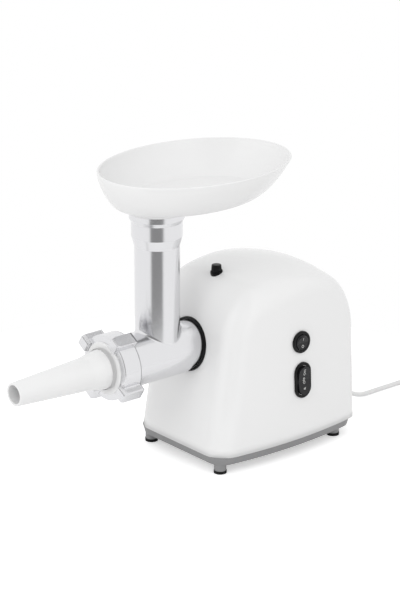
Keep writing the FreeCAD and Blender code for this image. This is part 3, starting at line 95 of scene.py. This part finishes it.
looks = {
    "white_shell": {"colour": "#F0F0F0", "rough": 0.16, "grain": 3.0, "spread": 0.03,
                    "bump": 0.03},  # gloss white ABS
    "white_plastic": {"colour": "#F0F0F0", "rough": 0.24, "grain": 2.5, "spread": 0.03,
                      "bump": 0.03},  # gloss white polypropylene
    "grey_base": {"colour": "#8F8F90", "rough": 0.45, "grain": 0.6, "bump": 0.12},  # satin grey ABS
    "grey_plastic": {"colour": "#63656A", "rough": 0.5, "grain": 0.6, "bump": 0.12},  # dark grey nylon
    "gear_plastic": {"colour": "#E6E0CC", "rough": 0.45, "grain": 0.6, "bump": 0.1},  # natural acetal
    "rubber": {"colour": "#161616", "rough": 0.7, "specular": 0.25, "grain": 0.4,
               "bump": 0.2},  # black rubber
    "white_rubber": {"colour": "#ECECEC", "rough": 0.42, "grain": 0.8, "bump": 0.1},  # white PVC
    "black_plastic": {"colour": "#0F0F10", "rough": 0.3, "specular": 0.2, "grain": 0.7,
                      "bump": 0.08},  # black ABS
    "dark_plastic": {"colour": "#1D1D1F", "rough": 0.26, "specular": 0.3, "grain": 0.7,
                     "bump": 0.08},  # charcoal ABS
    "cast_aluminium": {"colour": "#E4E4E6", "rough": 0.2, "metal": 1.0, "grain": 1.2, "spread": 0.06,
                       "bump": 0.05},  # polished cast aluminium
    "steel": {"colour": "#C6C7C9", "rough": 0.28, "metal": 1.0, "grain": 0.8, "bump": 0.05},  # bright steel
    "bronze": {"colour": "#B08B58", "rough": 0.45, "metal": 1.0, "grain": 0.4,
               "bump": 0.1},  # sintered bronze
    "brass": {"colour": "#D8BC78", "rough": 0.3, "metal": 1.0, "grain": 0.8, "bump": 0.05},  # bright brass
    "copper": {"colour": "#B9683F", "rough": 0.4, "metal": 1.0, "grain": 0.5, "bump": 0.15,
               "stretch": (1, 0.1, 1)},  # enamelled copper wire
    "lamination": {"colour": "#6B6B70", "rough": 0.5, "metal": 1.0, "grain": 0.5, "bump": 0.2,
                   "stretch": (0.1, 1, 0.1)},  # stacked steel sheet
    "print_ink": {"colour": "#D6D6D4", "rough": 0.5, "grain": 0.5, "bump": 0.05},  # pale matt pad-printed ink
    "carbon": {"colour": "#1C1C1C", "rough": 0.6, "grain": 0.3, "bump": 0.15},  # pressed carbon
}
materials = {name: makeMaterial(name, look) for name, look in looks.items()}
for part in frame["record"]["subparts"]:
    node = nodes[part["node"]]
    node.data.materials.clear()
    node.data.materials.append(materials[part["material_slot"]])
print("materials on the CAD pieces")


def ease(value, width):  # 0 to 1 over this width, level at both ends
    share = np.clip(value / width + 0.5, 0, 1)
    return share * share * (3 - 2 * share)


def tilted(points, angle):  # turned about x
    cosine = math.cos(angle)
    sine = math.sin(angle)
    turn = np.array([[1, 0, 0], [0, cosine, -sine], [0, sine, cosine]])
    return points @ turn.T


def rounded(points, radii, steps=6):  # a closed outline, its corners swept by curves of about these radii
    sharpest = 0.05  # least tangent of half a corner's angle
    points = np.array(points, float)
    ahead = np.roll(points, -1, axis=0) - points
    ahead = ahead / np.linalg.norm(ahead, axis=1)[:, None]
    behind = -np.roll(ahead, 1, axis=0)
    half = np.arccos(np.clip((ahead * behind).sum(1), -1, 1)) / 2
    reach = (np.array(radii, float) / np.maximum(np.tan(half), sharpest))[:, None]
    first = (points + behind * reach)[:, None]
    last = (points + ahead * reach)[:, None]
    share = np.linspace(0, 1, steps)[None, :, None]
    curve = (1 - share) ** 2 * first + 2 * share * (1 - share) * points[:, None] + share ** 2 * last
    return curve.reshape(-1, 2)


def around(profile, sides, centre, upright):  # radius and place along an axis, carried round that axis
    turns = np.linspace(0, 2 * np.pi, sides, endpoint=False)[None, :]
    across = centre[0] + profile[:, :1] * np.cos(turns)
    other = centre[1] + profile[:, :1] * np.sin(turns)
    along = profile[:, 1:] + 0 * turns
    order = [across, other, along] if upright else [across, along, other]
    return np.stack(order, axis=2)


def skin(name, grid, closed, slot, body, *replaced):  # a grid in mm, closed round, and along too where asked
    rows, sides = grid.shape[:2]
    index = np.arange(rows * sides).reshape(rows, sides)
    index = np.vstack([index, index[:1]]) if closed else index
    index = np.hstack([index, index[:, :1]])
    quads = np.stack([index[:-1, :-1], index[:-1, 1:], index[1:, 1:], index[1:, :-1]], axis=2)
    points = (grid.reshape(-1, 3) + [0, shift, 0]) * mm
    mesh = bpy.data.meshes.new(name)
    mesh.from_pydata(points.tolist(), [], quads.reshape(-1, 4).tolist())
    work = bmesh.new()
    work.from_mesh(mesh)
    bmesh.ops.remove_doubles(work, verts=work.verts, dist=weld)
    bmesh.ops.recalc_face_normals(work, faces=work.faces)
    work.to_mesh(mesh)
    work.free()
    mesh.polygons.foreach_set("use_smooth", np.ones(len(mesh.polygons), bool))
    mesh.materials.append(materials[slot])
    obj = bpy.data.objects.new(name, mesh)
    scene.collection.objects.link(obj)
    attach(obj, body)
    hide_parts(*replaced)


shell = {"width": 130.0, "depth": 189.0, "bow": 9.0, "bottom": 18.5, "roof": 192.9, "arch": 208.0,
         "peak": 94.2, "crown": 237.0, "frontLean": 9.0, "backLean": 0.5, "sideLean": 2.5, "frontRound": 33.0,
         "backRound": 38.5, "frontEdge": 20.0, "backEdge": 10.0, "edgeFrom": 50.0, "edgeTo": 140.0,
         "wall": 2.6, "waist": 95.0, "sides": 288, "lowRows": 10, "highRows": 56, "halvings": 40}


def sideArc():  # middle of the depth, radius of each bowed side, and x of its centre at the bottom
    middle = shell["depth"] / 2
    radius = (middle ** 2 + shell["bow"] ** 2) / (2 * shell["bow"])
    centre = shell["width"] / 2 + shell["bow"] - radius / math.cos(math.radians(shell["sideLean"]))
    return middle, radius, centre


def blunt(one, other, radius):  # the inside of both surfaces, given by distance, rounded where they meet
    corner = np.hypot(np.maximum(one + radius, 0), np.maximum(other + radius, 0))
    return np.minimum(-radius, np.maximum(one, other)) + corner


def shellDistance(points):  # leaning front and back, a roof arched both ways and two bowed leaning sides
    x, y, z = points[..., 0], points[..., 1], points[..., 2]
    rise = z - shell["bottom"]
    frontLean, backLean, sideLean = np.radians([shell["frontLean"], shell["backLean"], shell["sideLean"]])
    crownAxis = shell["roof"] - shell["crown"]
    lifted = crownAxis + np.hypot(x, z - crownAxis)
    roof = np.hypot(y - shell["peak"], lifted - shell["roof"] + shell["arch"]) - shell["arch"]
    front = rise * np.sin(frontLean) - y * np.cos(frontLean)
    back = (y - shell["depth"]) * np.cos(backLean) + rise * np.sin(backLean)
    middle, radius, centre = sideArc()
    share = ease(y - (shell["edgeFrom"] + shell["edgeTo"]) / 2, shell["edgeTo"] - shell["edgeFrom"])
    edge = shell["frontEdge"] + (shell["backEdge"] - shell["frontEdge"]) * share
    form = blunt(blunt(front, roof, shell["frontRound"]), back, shell["backRound"])
    for sign in (1, -1):
        across = (sign * x - centre) * np.cos(sideLean) + rise * np.sin(sideLean)
        form = blunt(form, np.hypot(across, y - middle) - radius, edge)
    return form


def shellGrid(inset):  # level rays up to the waist and a fan of rays above it, each cut at the inset
    turns = np.linspace(0, 2 * np.pi, shell["sides"], endpoint=False)
    low = np.linspace(shell["bottom"], shell["waist"], shell["lowRows"])
    climb = np.linspace(0, np.pi / 2, shell["highRows"])[1:]
    height = np.concatenate([low, np.full(len(climb), shell["waist"])])
    climb = np.concatenate([np.zeros(len(low)), climb])[:, None]
    centre = np.stack([0 * height, 0 * height + shell["depth"] / 2, height], axis=1)[:, None, :]
    level = np.cos(climb)
    way = np.stack([level * np.cos(turns), level * np.sin(turns), np.sin(climb) + 0 * turns], axis=2)
    near = np.zeros(way.shape[:2])
    far = near + shell["roof"]
    for halving in range(shell["halvings"]):
        middle = (near + far) / 2
        inside = shellDistance(centre + way * middle[..., None]) < -inset
        near = np.where(inside, middle, near)
        far = np.where(inside, far, middle)
    return centre + way * near[..., None]


def makeShell():
    outer = shellGrid(0)
    inner = shellGrid(shell["wall"])
    skin("shell", np.concatenate([outer[::-1], inner]), False, "white_shell", "frame", "housing")


makeShell()
print("housing done")

ring = {"front": 14.4, "back": 27.0, "outer": 27.2, "inner": 24.5, "corners": [0.8, 0.9, 0.3, 0.3],
        "sides": 160}


def makeRing():
    outline = [(ring["inner"], ring["front"]), (ring["outer"], ring["front"]),
               (ring["outer"], ring["back"]), (ring["inner"], ring["back"])]
    grid = around(rounded(outline, ring["corners"]), ring["sides"], (0, axisHeight), False)
    lean = math.tan(math.radians(shell["frontLean"]))
    grid[..., 1] += (grid[..., 2] - axisHeight) * lean  # in line with the leaning front wall
    skin("socket_collar", grid, True, "black_plastic", "frame", "socket_ring")


tip = {"front": -199.0, "shoulder": -115.0, "nut": -90.4, "flange": -91.0, "back": -88.1, "tipRadius": 11.6,
       "midRadius": 16.6, "baseRadius": 20.6, "flangeRadius": 26.3, "wall": 2.5, "swell": 0.6, "steps": 7,
       "corners": [0.9, 0.9, 2.0, 1.5, 0.3, 0.2, 0.3, 0.3, 0.3, 0.3, 1.5, 2.0], "sides": 192}


def makeFunnel():
    bore = tip["wall"]
    middle = (tip["shoulder"] + tip["nut"]) / 2
    swell = (tip["midRadius"] + tip["baseRadius"]) / 2 + tip["swell"]
    outline = [(tip["tipRadius"] - bore, tip["front"]), (tip["tipRadius"], tip["front"]),
               (tip["midRadius"], tip["shoulder"]), (swell, middle), (tip["baseRadius"], tip["nut"]),
               (tip["baseRadius"], tip["flange"]), (tip["flangeRadius"], tip["flange"]),
               (tip["flangeRadius"], tip["back"]), (tip["baseRadius"] - bore, tip["back"]),
               (tip["baseRadius"] - bore, tip["nut"]), (swell - bore, middle),
               (tip["midRadius"] - bore, tip["shoulder"])]
    grid = around(rounded(outline, tip["corners"], tip["steps"]), tip["sides"], (0, axisHeight), False)
    skin("filling_funnel", grid, True, "white_plastic", "funnel", "sausage_funnel")


nut = {"front": -90.0, "back": -70.0, "radius": 33.0, "reach": 40.0, "halfLug": 6.5, "foot": 28.0,
       "ahead": 5.0, "turn": 57.0, "opening": 22.6, "mouth": 0.8, "bore": 26.75, "lip": 4.0, "soft": 1.3,
       "tipBlend": 0.6, "rootBlend": 0.5, "footEase": 2.4, "flankInset": 0.7, "flankEase": 2.2,
       "backStep": 2.0, "corners": [0.2, 0.4, 0.3, 0.4, 0.7], "leastSine": 1e-4, "sides": 1080, "faceRows": 44,
       "wallRows": 12}


def makeNut():  # polar rows: the radius follows the four lugs, and the face steps forward on each
    turns = np.linspace(0, 2 * np.pi, nut["sides"], endpoint=False)[None, :]
    quarter = np.pi / 2
    lug = (turns - np.radians(nut["turn"]) + quarter / 2) % quarter - quarter / 2
    flank = nut["halfLug"] / np.maximum(np.abs(np.sin(lug)), nut["leastSine"])
    tipReach = nut["reach"] / np.cos(lug)
    lugRadius = -np.logaddexp(-flank / nut["tipBlend"], -tipReach / nut["tipBlend"]) * nut["tipBlend"]
    rim = np.logaddexp(lugRadius / nut["rootBlend"], nut["radius"] / nut["rootBlend"]) * nut["rootBlend"]
    share = np.linspace(0, 1, nut["faceRows"])[:, None]
    mouth = nut["opening"] + nut["mouth"]
    radius = mouth + (rim - mouth) * share
    beside = nut["halfLug"] - nut["flankInset"] - np.abs(radius * np.sin(lug))
    onLug = ease(radius - nut["foot"], nut["footEase"]) * ease(beside, nut["flankEase"])
    edge = np.clip((radius - rim) / nut["soft"] + 1, 0, 1)
    front = nut["front"] - nut["ahead"] * onLug + nut["soft"] * (1 - np.sqrt(1 - edge ** 2))
    wall = np.linspace(0, 1, nut["wallRows"])[1:, None]
    wallRadius = rim + 0 * wall
    wallPlace = front[-1:] + (nut["back"] - front[-1:]) * wall
    lipBack = nut["front"] + nut["lip"]
    outline = [(rim.min() - nut["backStep"], nut["back"]), (nut["bore"], nut["back"]), (nut["bore"], lipBack),
               (nut["opening"], lipBack), (nut["opening"], nut["front"])]
    inner = rounded(outline, nut["corners"])
    radius = np.concatenate([radius, wallRadius, inner[:, :1] + 0 * turns])
    place = np.concatenate([front, wallPlace, inner[:, 1:] + 0 * turns])
    grid = np.stack([radius * np.cos(turns), place, axisHeight + radius * np.sin(turns)], axis=2)
    skin("wing_nut", grid, True, "cast_aluminium", "nut", "ring_nut")


tray = {"rim": 308.0, "rimY": 25.2, "rimLength": 211.8, "rimWidth": 155.6, "floor": 273.8, "floorY": 17.3,
        "floorLength": 162.4, "floorWidth": 110.2, "curve": 1.31, "wall": 2.2, "top": 267.5, "lip": 27.4,
        "flare": 35.4, "spigot": 22.2, "throat": 20.0, "depth": 14.0, "throatEdge": 1.2, "throatBend": 0.35,
        "throatFoot": 0.4, "spigotFoot": 0.6, "climbPower": 1.7, "climbRows": 30, "rimRows": 9,
        "flatRows": 12, "coveRows": 7, "sides": 256}


def makeTray():  # oval rings: floor, wall, rim, down the outside and up through the throat
    wall = tray["wall"]
    climb = (np.linspace(0, 1, tray["climbRows"]) ** tray["climbPower"])[:-1]

    def bowl(inset, bottom):
        out = (1 - (1 - climb) ** tray["curve"]) ** (1 / tray["curve"])
        halfX = (tray["floorWidth"] + (tray["rimWidth"] - tray["floorWidth"]) * out) / 2 - inset
        halfY = (tray["floorLength"] + (tray["rimLength"] - tray["floorLength"]) * out) / 2 - inset
        middle = tray["floorY"] + (tray["rimY"] - tray["floorY"]) * climb
        return np.column_stack([middle, halfX, halfY, bottom + (tray["rim"] - bottom) * climb])

    def circle(radius, height):
        return np.array([tubeAxis, radius, radius, height])

    floorTop = tray["floor"] + wall
    inside = bowl(wall, floorTop)
    outside = bowl(0, tray["floor"])[::-1]
    bend = np.linspace(0, np.pi, tray["rimRows"])[:, None]
    rimX = tray["rimWidth"] / 2 - wall / 2
    rimY = tray["rimLength"] / 2 - wall / 2
    bead = wall / 2 * np.cos(bend)
    rimHeight = tray["rim"] - wall / 2 * (1 - np.sin(bend))
    rim = np.hstack([tray["rimY"] + 0 * bend, rimX - bead, rimY - bead, rimHeight])
    share = np.linspace(0, 1, tray["flatRows"])[:, None]
    floorEdge = circle(tray["throat"] + tray["throatEdge"], floorTop)
    floorRows = floorEdge + (inside[0] - floorEdge) * share[:-1]
    under = circle(tray["flare"], tray["floor"])
    underRows = outside[-1] + (under - outside[-1]) * share[1:]
    cove = np.linspace(0, np.pi / 2, tray["coveRows"])[1:, None]
    drop = tray["floor"] - tray["top"]
    coveRadius = tray["lip"] + (tray["flare"] - tray["lip"]) * (1 - np.sin(cove))
    coveHeight = tray["floor"] - drop * (1 - np.cos(cove))
    coveRows = np.hstack([tubeAxis + 0 * cove, coveRadius, coveRadius, coveHeight])
    low = tray["top"] - tray["depth"]
    tail = np.array([circle(tray["spigot"], tray["top"]),
                     circle(tray["spigot"], low + tray["spigotFoot"]),
                     circle(tray["spigot"] - tray["spigotFoot"], low),
                     circle(tray["throat"] + tray["throatFoot"], low),
                     circle(tray["throat"], low + tray["throatFoot"]),
                     circle(tray["throat"], floorTop - tray["throatEdge"]),
                     circle(tray["throat"] + tray["throatBend"], floorTop - tray["throatBend"])])
    rings = np.concatenate([floorRows, inside, rim, outside, underRows, coveRows, tail])
    turns = np.linspace(0, 2 * np.pi, tray["sides"], endpoint=False)
    x = rings[:, 1:2] * np.cos(turns)
    y = rings[:, :1] + rings[:, 2:3] * np.sin(turns)
    grid = np.stack([x, y, rings[:, 3:] + 0 * turns], axis=2)
    skin("hopper_tray", grid, True, "white_plastic", "tray", "feed_tray")


button = {"place": 53.0, "radius": 5.4, "taper": 0.5, "height": 6.8, "ribs": 18, "ribDepth": 0.4,
          "ribTop": 1.4, "ribEase": 0.8, "ribFoot": 3.9, "rise": 0.8, "soft": 0.9, "flatInset": 2.4,
          "crown": 0.15, "crownEdge": 0.12, "wallTop": 1.2, "sunk": 4.0, "bendRows": 7, "wallRows": 12,
          "sides": 216}
bezel = {"gap": 0.3, "radius": 6.4, "sunk": 3.5, "corners": [0.1, 0.5, 0.9, 0.1], "sides": 96}


def makeButton():
    across = shell["peak"] - button["place"]
    roof = shell["roof"] - shell["arch"] + math.sqrt(shell["arch"] ** 2 - across ** 2)
    top = roof + button["rise"] + button["height"]
    foot = roof - button["sunk"]
    full = button["radius"]
    soft = button["soft"]
    turns = np.linspace(0, 2 * np.pi, button["sides"], endpoint=False)[None, :]
    bend = np.linspace(0, np.pi / 2, button["bendRows"])[:, None]
    wall = np.linspace(top - button["wallTop"], foot, button["wallRows"])[:, None]
    capRadius = np.concatenate([[[0.0]], [[full - button["flatInset"]]], full - soft + soft * np.sin(bend),
                                full + 0 * wall, [[0.0]]])
    capHeight = np.concatenate([[[top + button["crown"]]], [[top + button["crownEdge"]]],
                                top - soft * (1 - np.cos(bend)), wall, [[foot]]])
    ribbed = ease(top - button["ribTop"] - capHeight, button["ribEase"])
    ribbed = ribbed * (capHeight > roof - button["ribFoot"])
    groove = button["ribDepth"] * (0.5 + 0.5 * np.cos(button["ribs"] * turns)) ** 2
    taper = button["taper"] * np.clip((capHeight - roof) / (top - roof), 0, 1) * (capRadius > 0)
    radius = capRadius - groove * ribbed - taper
    x = radius * np.cos(turns)
    y = button["place"] + radius * np.sin(turns)
    grid = np.stack([x, y, capHeight + 0 * turns], axis=2)
    skin("release_button", grid, False, "black_plastic", "lock", "lock_button")
    inner = full + bezel["gap"]
    outline = [(inner, -bezel["sunk"]), (inner, button["rise"]), (bezel["radius"], button["rise"]),
               (bezel["radius"], -bezel["sunk"])]
    grid = around(rounded(outline, bezel["corners"]), bezel["sides"], (0, 0), True)
    grid = tilted(grid, math.asin(across / shell["arch"])) + [0, button["place"], roof]
    skin("button_bezel", grid, True, "black_plastic", "frame", "lock_bezel")


makeRing()
makeFunnel()
makeNut()
makeTray()
makeButton()
print("head, tray and button done")

switches = {"power": {"at": (105.0, 121.0), "tilt": 9.0, "set": 9.0, "body": "power_key", "size": 4.2,
                      "turned": False, "marks": (("I", 3.9), ("O", -3.7))},
            "mode": {"at": (106.0, 80.5), "tilt": 8.0, "set": 0.0, "body": "mode_key", "size": 4.1,
                     "turned": True, "marks": (("ON", 8.8), ("OFF", 0.0), ("R", -8.2))}}
rocker = {"valley": 3.0, "proud": 0.05, "thick": 0.04, "fineness": 4}


def sideFrame(y, z):  # a spot on the right side, with its backward, upward and outward directions
    lean = math.radians(shell["sideLean"])
    middle, radius, centre = sideArc()
    reach = math.sqrt(radius ** 2 - (y - middle) ** 2)
    x = centre + (reach - (z - shell["bottom"]) * math.sin(lean)) / math.cos(lean)
    outward = np.array([reach * math.cos(lean), y - middle, reach * math.sin(lean)]) / radius
    upward = np.array([-math.sin(lean), 0, math.cos(lean)])
    return np.array([x, y, z]), np.array([np.cross(upward, outward), upward, outward])


def makeMark(key, number, word, height):  # a flat word, laid on the two sloping faces of its rocker
    switch = switches[key]
    text = bpy.data.curves.new(key + "_text", "FONT")
    text.body = word
    text.align_x = "CENTER"
    text.align_y = "CENTER"
    text.size = switch["size"]
    text.extrude = rocker["thick"]
    text.resolution_u = rocker["fineness"]
    holder = bpy.data.objects.new(key + "_text", text)
    scene.collection.objects.link(holder)
    mesh = bpy.data.meshes.new_from_object(holder.evaluated_get(bpy.context.evaluated_depsgraph_get()))
    bpy.data.objects.remove(holder)
    points = np.zeros(len(mesh.vertices) * 3)
    mesh.vertices.foreach_get("co", points)
    points = points.reshape(-1, 3)
    if switch["turned"]:
        points = points[:, [1, 0, 2]] * [-1, 1, 1]
    points[:, 1] += height
    slope = math.tan(math.radians(switch["tilt"]))
    points[:, 2] += rocker["valley"] + rocker["proud"] + np.abs(points[:, 1]) * slope
    points = tilted(points, math.radians(switch["set"]))
    spot, axes = sideFrame(*switch["at"])
    mesh.vertices.foreach_set("co", ((spot + points @ axes + [0, shift, 0]) * mm).ravel())
    mesh.materials.clear()
    mesh.materials.append(materials["print_ink"])
    obj = bpy.data.objects.new(key + "_mark_" + str(number), mesh)
    scene.collection.objects.link(obj)
    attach(obj, switch["body"])


for key, switch in switches.items():
    for number, (word, height) in enumerate(switch["marks"]):
        makeMark(key, number, word, height)
print("switch marks done")

lead = {"radius": 2.5, "turn": 34.5, "turnStep": 2.8, "turns": 5, "climbTurn": 20.5, "steps": 12, "low": 3.65,
        "high": 9.25, "tail": (363.0, 350.0), "bevel": 5, "order": 3, "fineness": 8,
        "route": [(0, 209, 24.2), (0, 218, 23.5), (0, 228, 19.8), (0, 238, 13.0), (0, 248, 6.8),
                  (0, 259, 3.2), (-1.2, 276, 2.5), (-1, 302, 2.5), (-0.6, 330, 2.6), (0, 354, 3.65),
                  (0, 373, 3.65), (0, 378, 3.65)]}


def leadPoints():  # the route, half turns in on the floor and out on top, and the way to the plug
    turns = lead["turns"]
    inward = [lead["turn"] - lead["turnStep"] * k for k in range(turns)]
    radii = inward + [lead["climbTurn"]] + inward[::-1]
    starts = [lead["low"]] * (turns + 1) + [lead["high"]] * turns
    ends = [lead["low"]] * turns + [lead["high"]] * (turns + 1)
    share = np.arange(1, lead["steps"] + 1) / lead["steps"]
    rows = [np.array(lead["route"], float)]
    heading = 1.0
    for radius, start, end in zip(radii, starts, ends):
        here = rows[-1][-1]
        reach = radius * heading
        x = here[0] + reach - reach * np.cos(np.pi * share)
        y = here[1] + reach * np.sin(np.pi * share)
        rows.append(np.column_stack([x, y, start + (end - start) * share]))
        heading = -heading
    here = rows[-1][-1]
    rows.append(np.array([[here[0], y, here[2]] for y in lead["tail"]]))
    return np.concatenate(rows)


def makeLead():
    curve = bpy.data.curves.new("lead", "CURVE")
    curve.dimensions = "3D"
    curve.bevel_depth = lead["radius"] * mm
    curve.bevel_resolution = lead["bevel"]
    curve.use_fill_caps = True
    spline = curve.splines.new("NURBS")
    points = leadPoints() + [0, shift, 0]
    spline.points.add(len(points) - 1)
    spline.points.foreach_set("co", np.column_stack([points * mm, np.ones(len(points))]).ravel())
    spline.order_u = lead["order"]
    spline.use_endpoint_u = True
    spline.resolution_u = lead["fineness"]
    obj = bpy.data.objects.new("lead", curve)
    scene.collection.objects.link(obj)
    curve.materials.append(materials["white_rubber"])
    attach(obj, "frame")
    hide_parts("cord", "cord_coil")


makeLead()
print("lead done")

view = {"at": (1.727785, -1.420087, 0.962942), "right": (0.64454369, 0.76456748, 0.0),
        "up": (-0.25500464, 0.21497335, 0.9427402), "back": (0.7207885, -0.60763725, 0.33352797),
        "lens": 144, "sensor": 36}
room = {"fill": 0.85, "dark": 0.28, "darkFrom": 34, "darkTo": 24}


def makeWorld():  # white to the camera, and in reflections darker towards it
    world = bpy.data.worlds.new("studio")
    scene.world = world
    world.use_nodes = True
    tree = world.node_tree
    tree.nodes.clear()
    path = addNode(tree, "ShaderNodeLightPath")
    way = addNode(tree, "ShaderNodeTexCoord").outputs["Generated"]
    toCamera = np.array(view["at"][:2])
    toCamera = toCamera / np.linalg.norm(toCamera)
    flat = addNode(tree, "ShaderNodeVectorMath", {"operation": "MULTIPLY"}, {1: (1, 1, 0)}, {0: way})
    unit = addNode(tree, "ShaderNodeVectorMath", {"operation": "NORMALIZE"}, {}, {0: flat.outputs["Vector"]})
    facing = addNode(tree, "ShaderNodeVectorMath", {"operation": "DOT_PRODUCT"},
                     {1: (toCamera[0], toCamera[1], 0)}, {0: unit.outputs["Vector"]})
    limits = {"From Min": math.cos(math.radians(room["darkFrom"])),
              "From Max": math.cos(math.radians(room["darkTo"])), "To Min": 1.0, "To Max": room["dark"]}
    sector = addNode(tree, "ShaderNodeMapRange", {"interpolation_type": "SMOOTHSTEP"}, limits,
                     {"Value": facing.outputs["Value"]})
    glossy = addNode(tree, "ShaderNodeBackground", {}, {}, {"Color": sector.outputs["Result"]})
    diffuse = addNode(tree, "ShaderNodeBackground", {}, {"Color": (1, 1, 1, 1), "Strength": room["fill"]})
    seen = addNode(tree, "ShaderNodeBackground", {}, {"Color": (1, 1, 1, 1), "Strength": 1.0})
    shine = addNode(tree, "ShaderNodeMixShader", {}, {},
                    {0: path.outputs["Is Glossy Ray"], 1: diffuse.outputs[0], 2: glossy.outputs[0]})
    final = addNode(tree, "ShaderNodeMixShader", {}, {},
                    {0: path.outputs["Is Camera Ray"], 1: shine.outputs[0], 2: seen.outputs[0]})
    addNode(tree, "ShaderNodeOutputWorld", {}, {}, {"Surface": final.outputs[0]})


paper = {"radius": 0.42, "middle": 0.02, "white": (0.9, 0.9, 0.9, 1), "seenLift": 0.45, "mirrorLift": 0.14,
         "sides": 96}


def makeFloor():  # lifted a little towards white, more for the camera than in reflections
    mat = bpy.data.materials.new("white_paper_floor")
    mat.use_nodes = True
    tree = mat.node_tree
    shader = tree.nodes["Principled BSDF"]
    shader.inputs["Base Color"].default_value = paper["white"]
    shader.inputs["Roughness"].default_value = 1.0
    shader.inputs["Specular IOR Level"].default_value = 0.0
    shader.inputs["Emission Color"].default_value = (1, 1, 1, 1)
    path = addNode(tree, "ShaderNodeLightPath")
    mirrored = addNode(tree, "ShaderNodeMath", {"operation": "MULTIPLY"}, {1: paper["mirrorLift"]},
                       {0: path.outputs["Is Glossy Ray"]})
    lift = addNode(tree, "ShaderNodeMath", {"operation": "MULTIPLY_ADD"}, {1: paper["seenLift"]},
                   {0: path.outputs["Is Camera Ray"], 2: mirrored.outputs[0]})
    tree.links.new(lift.outputs[0], shader.inputs["Emission Strength"])
    mesh = bpy.data.meshes.new("floor")
    turns = np.linspace(0, 2 * np.pi, paper["sides"], endpoint=False)
    x = paper["radius"] * np.cos(turns)
    y = paper["radius"] * np.sin(turns) + paper["middle"]
    mesh.from_pydata(np.column_stack([x, y, 0 * turns]).tolist(), [], [list(range(paper["sides"]))])
    mesh.materials.append(mat)
    obj = bpy.data.objects.new("floor", mesh)
    scene.collection.objects.link(obj)


lamps = {
    "key": {"at": (0.5, -1.9, 1.5), "power": 9.6, "size": 1.2},
    "side": {"at": (1.9, 0.2, 1.2), "power": 3.2, "size": 1.2},
}
aimHeight = 0.15  # m above the origin, where both lamps point


def makeLamps():
    for name, lamp in lamps.items():
        light = bpy.data.lights.new(name, "AREA")
        light.energy = lamp["power"]
        light.shape = "DISK"
        light.size = lamp["size"]
        obj = bpy.data.objects.new(name, light)
        scene.collection.objects.link(obj)
        obj.location = lamp["at"]
        away = obj.location.copy()
        away.z -= aimHeight
        obj.rotation_euler = away.to_track_quat("Z", "Y").to_euler()
        obj.visible_glossy = False


def makeCamera():
    data = bpy.data.cameras.new("camera")
    data.lens = view["lens"]
    data.sensor_width = view["sensor"]
    obj = bpy.data.objects.new("camera", data)
    scene.collection.objects.link(obj)
    columns = [view["right"], view["up"], view["back"], view["at"]]
    obj.matrix_world = Matrix([[column[i] for column in columns] for i in range(3)] + [[0, 0, 0, 1]])
    scene.camera = obj


makeWorld()
makeFloor()
makeLamps()
makeCamera()
scene.view_settings.view_transform = "Standard"
print("room done")
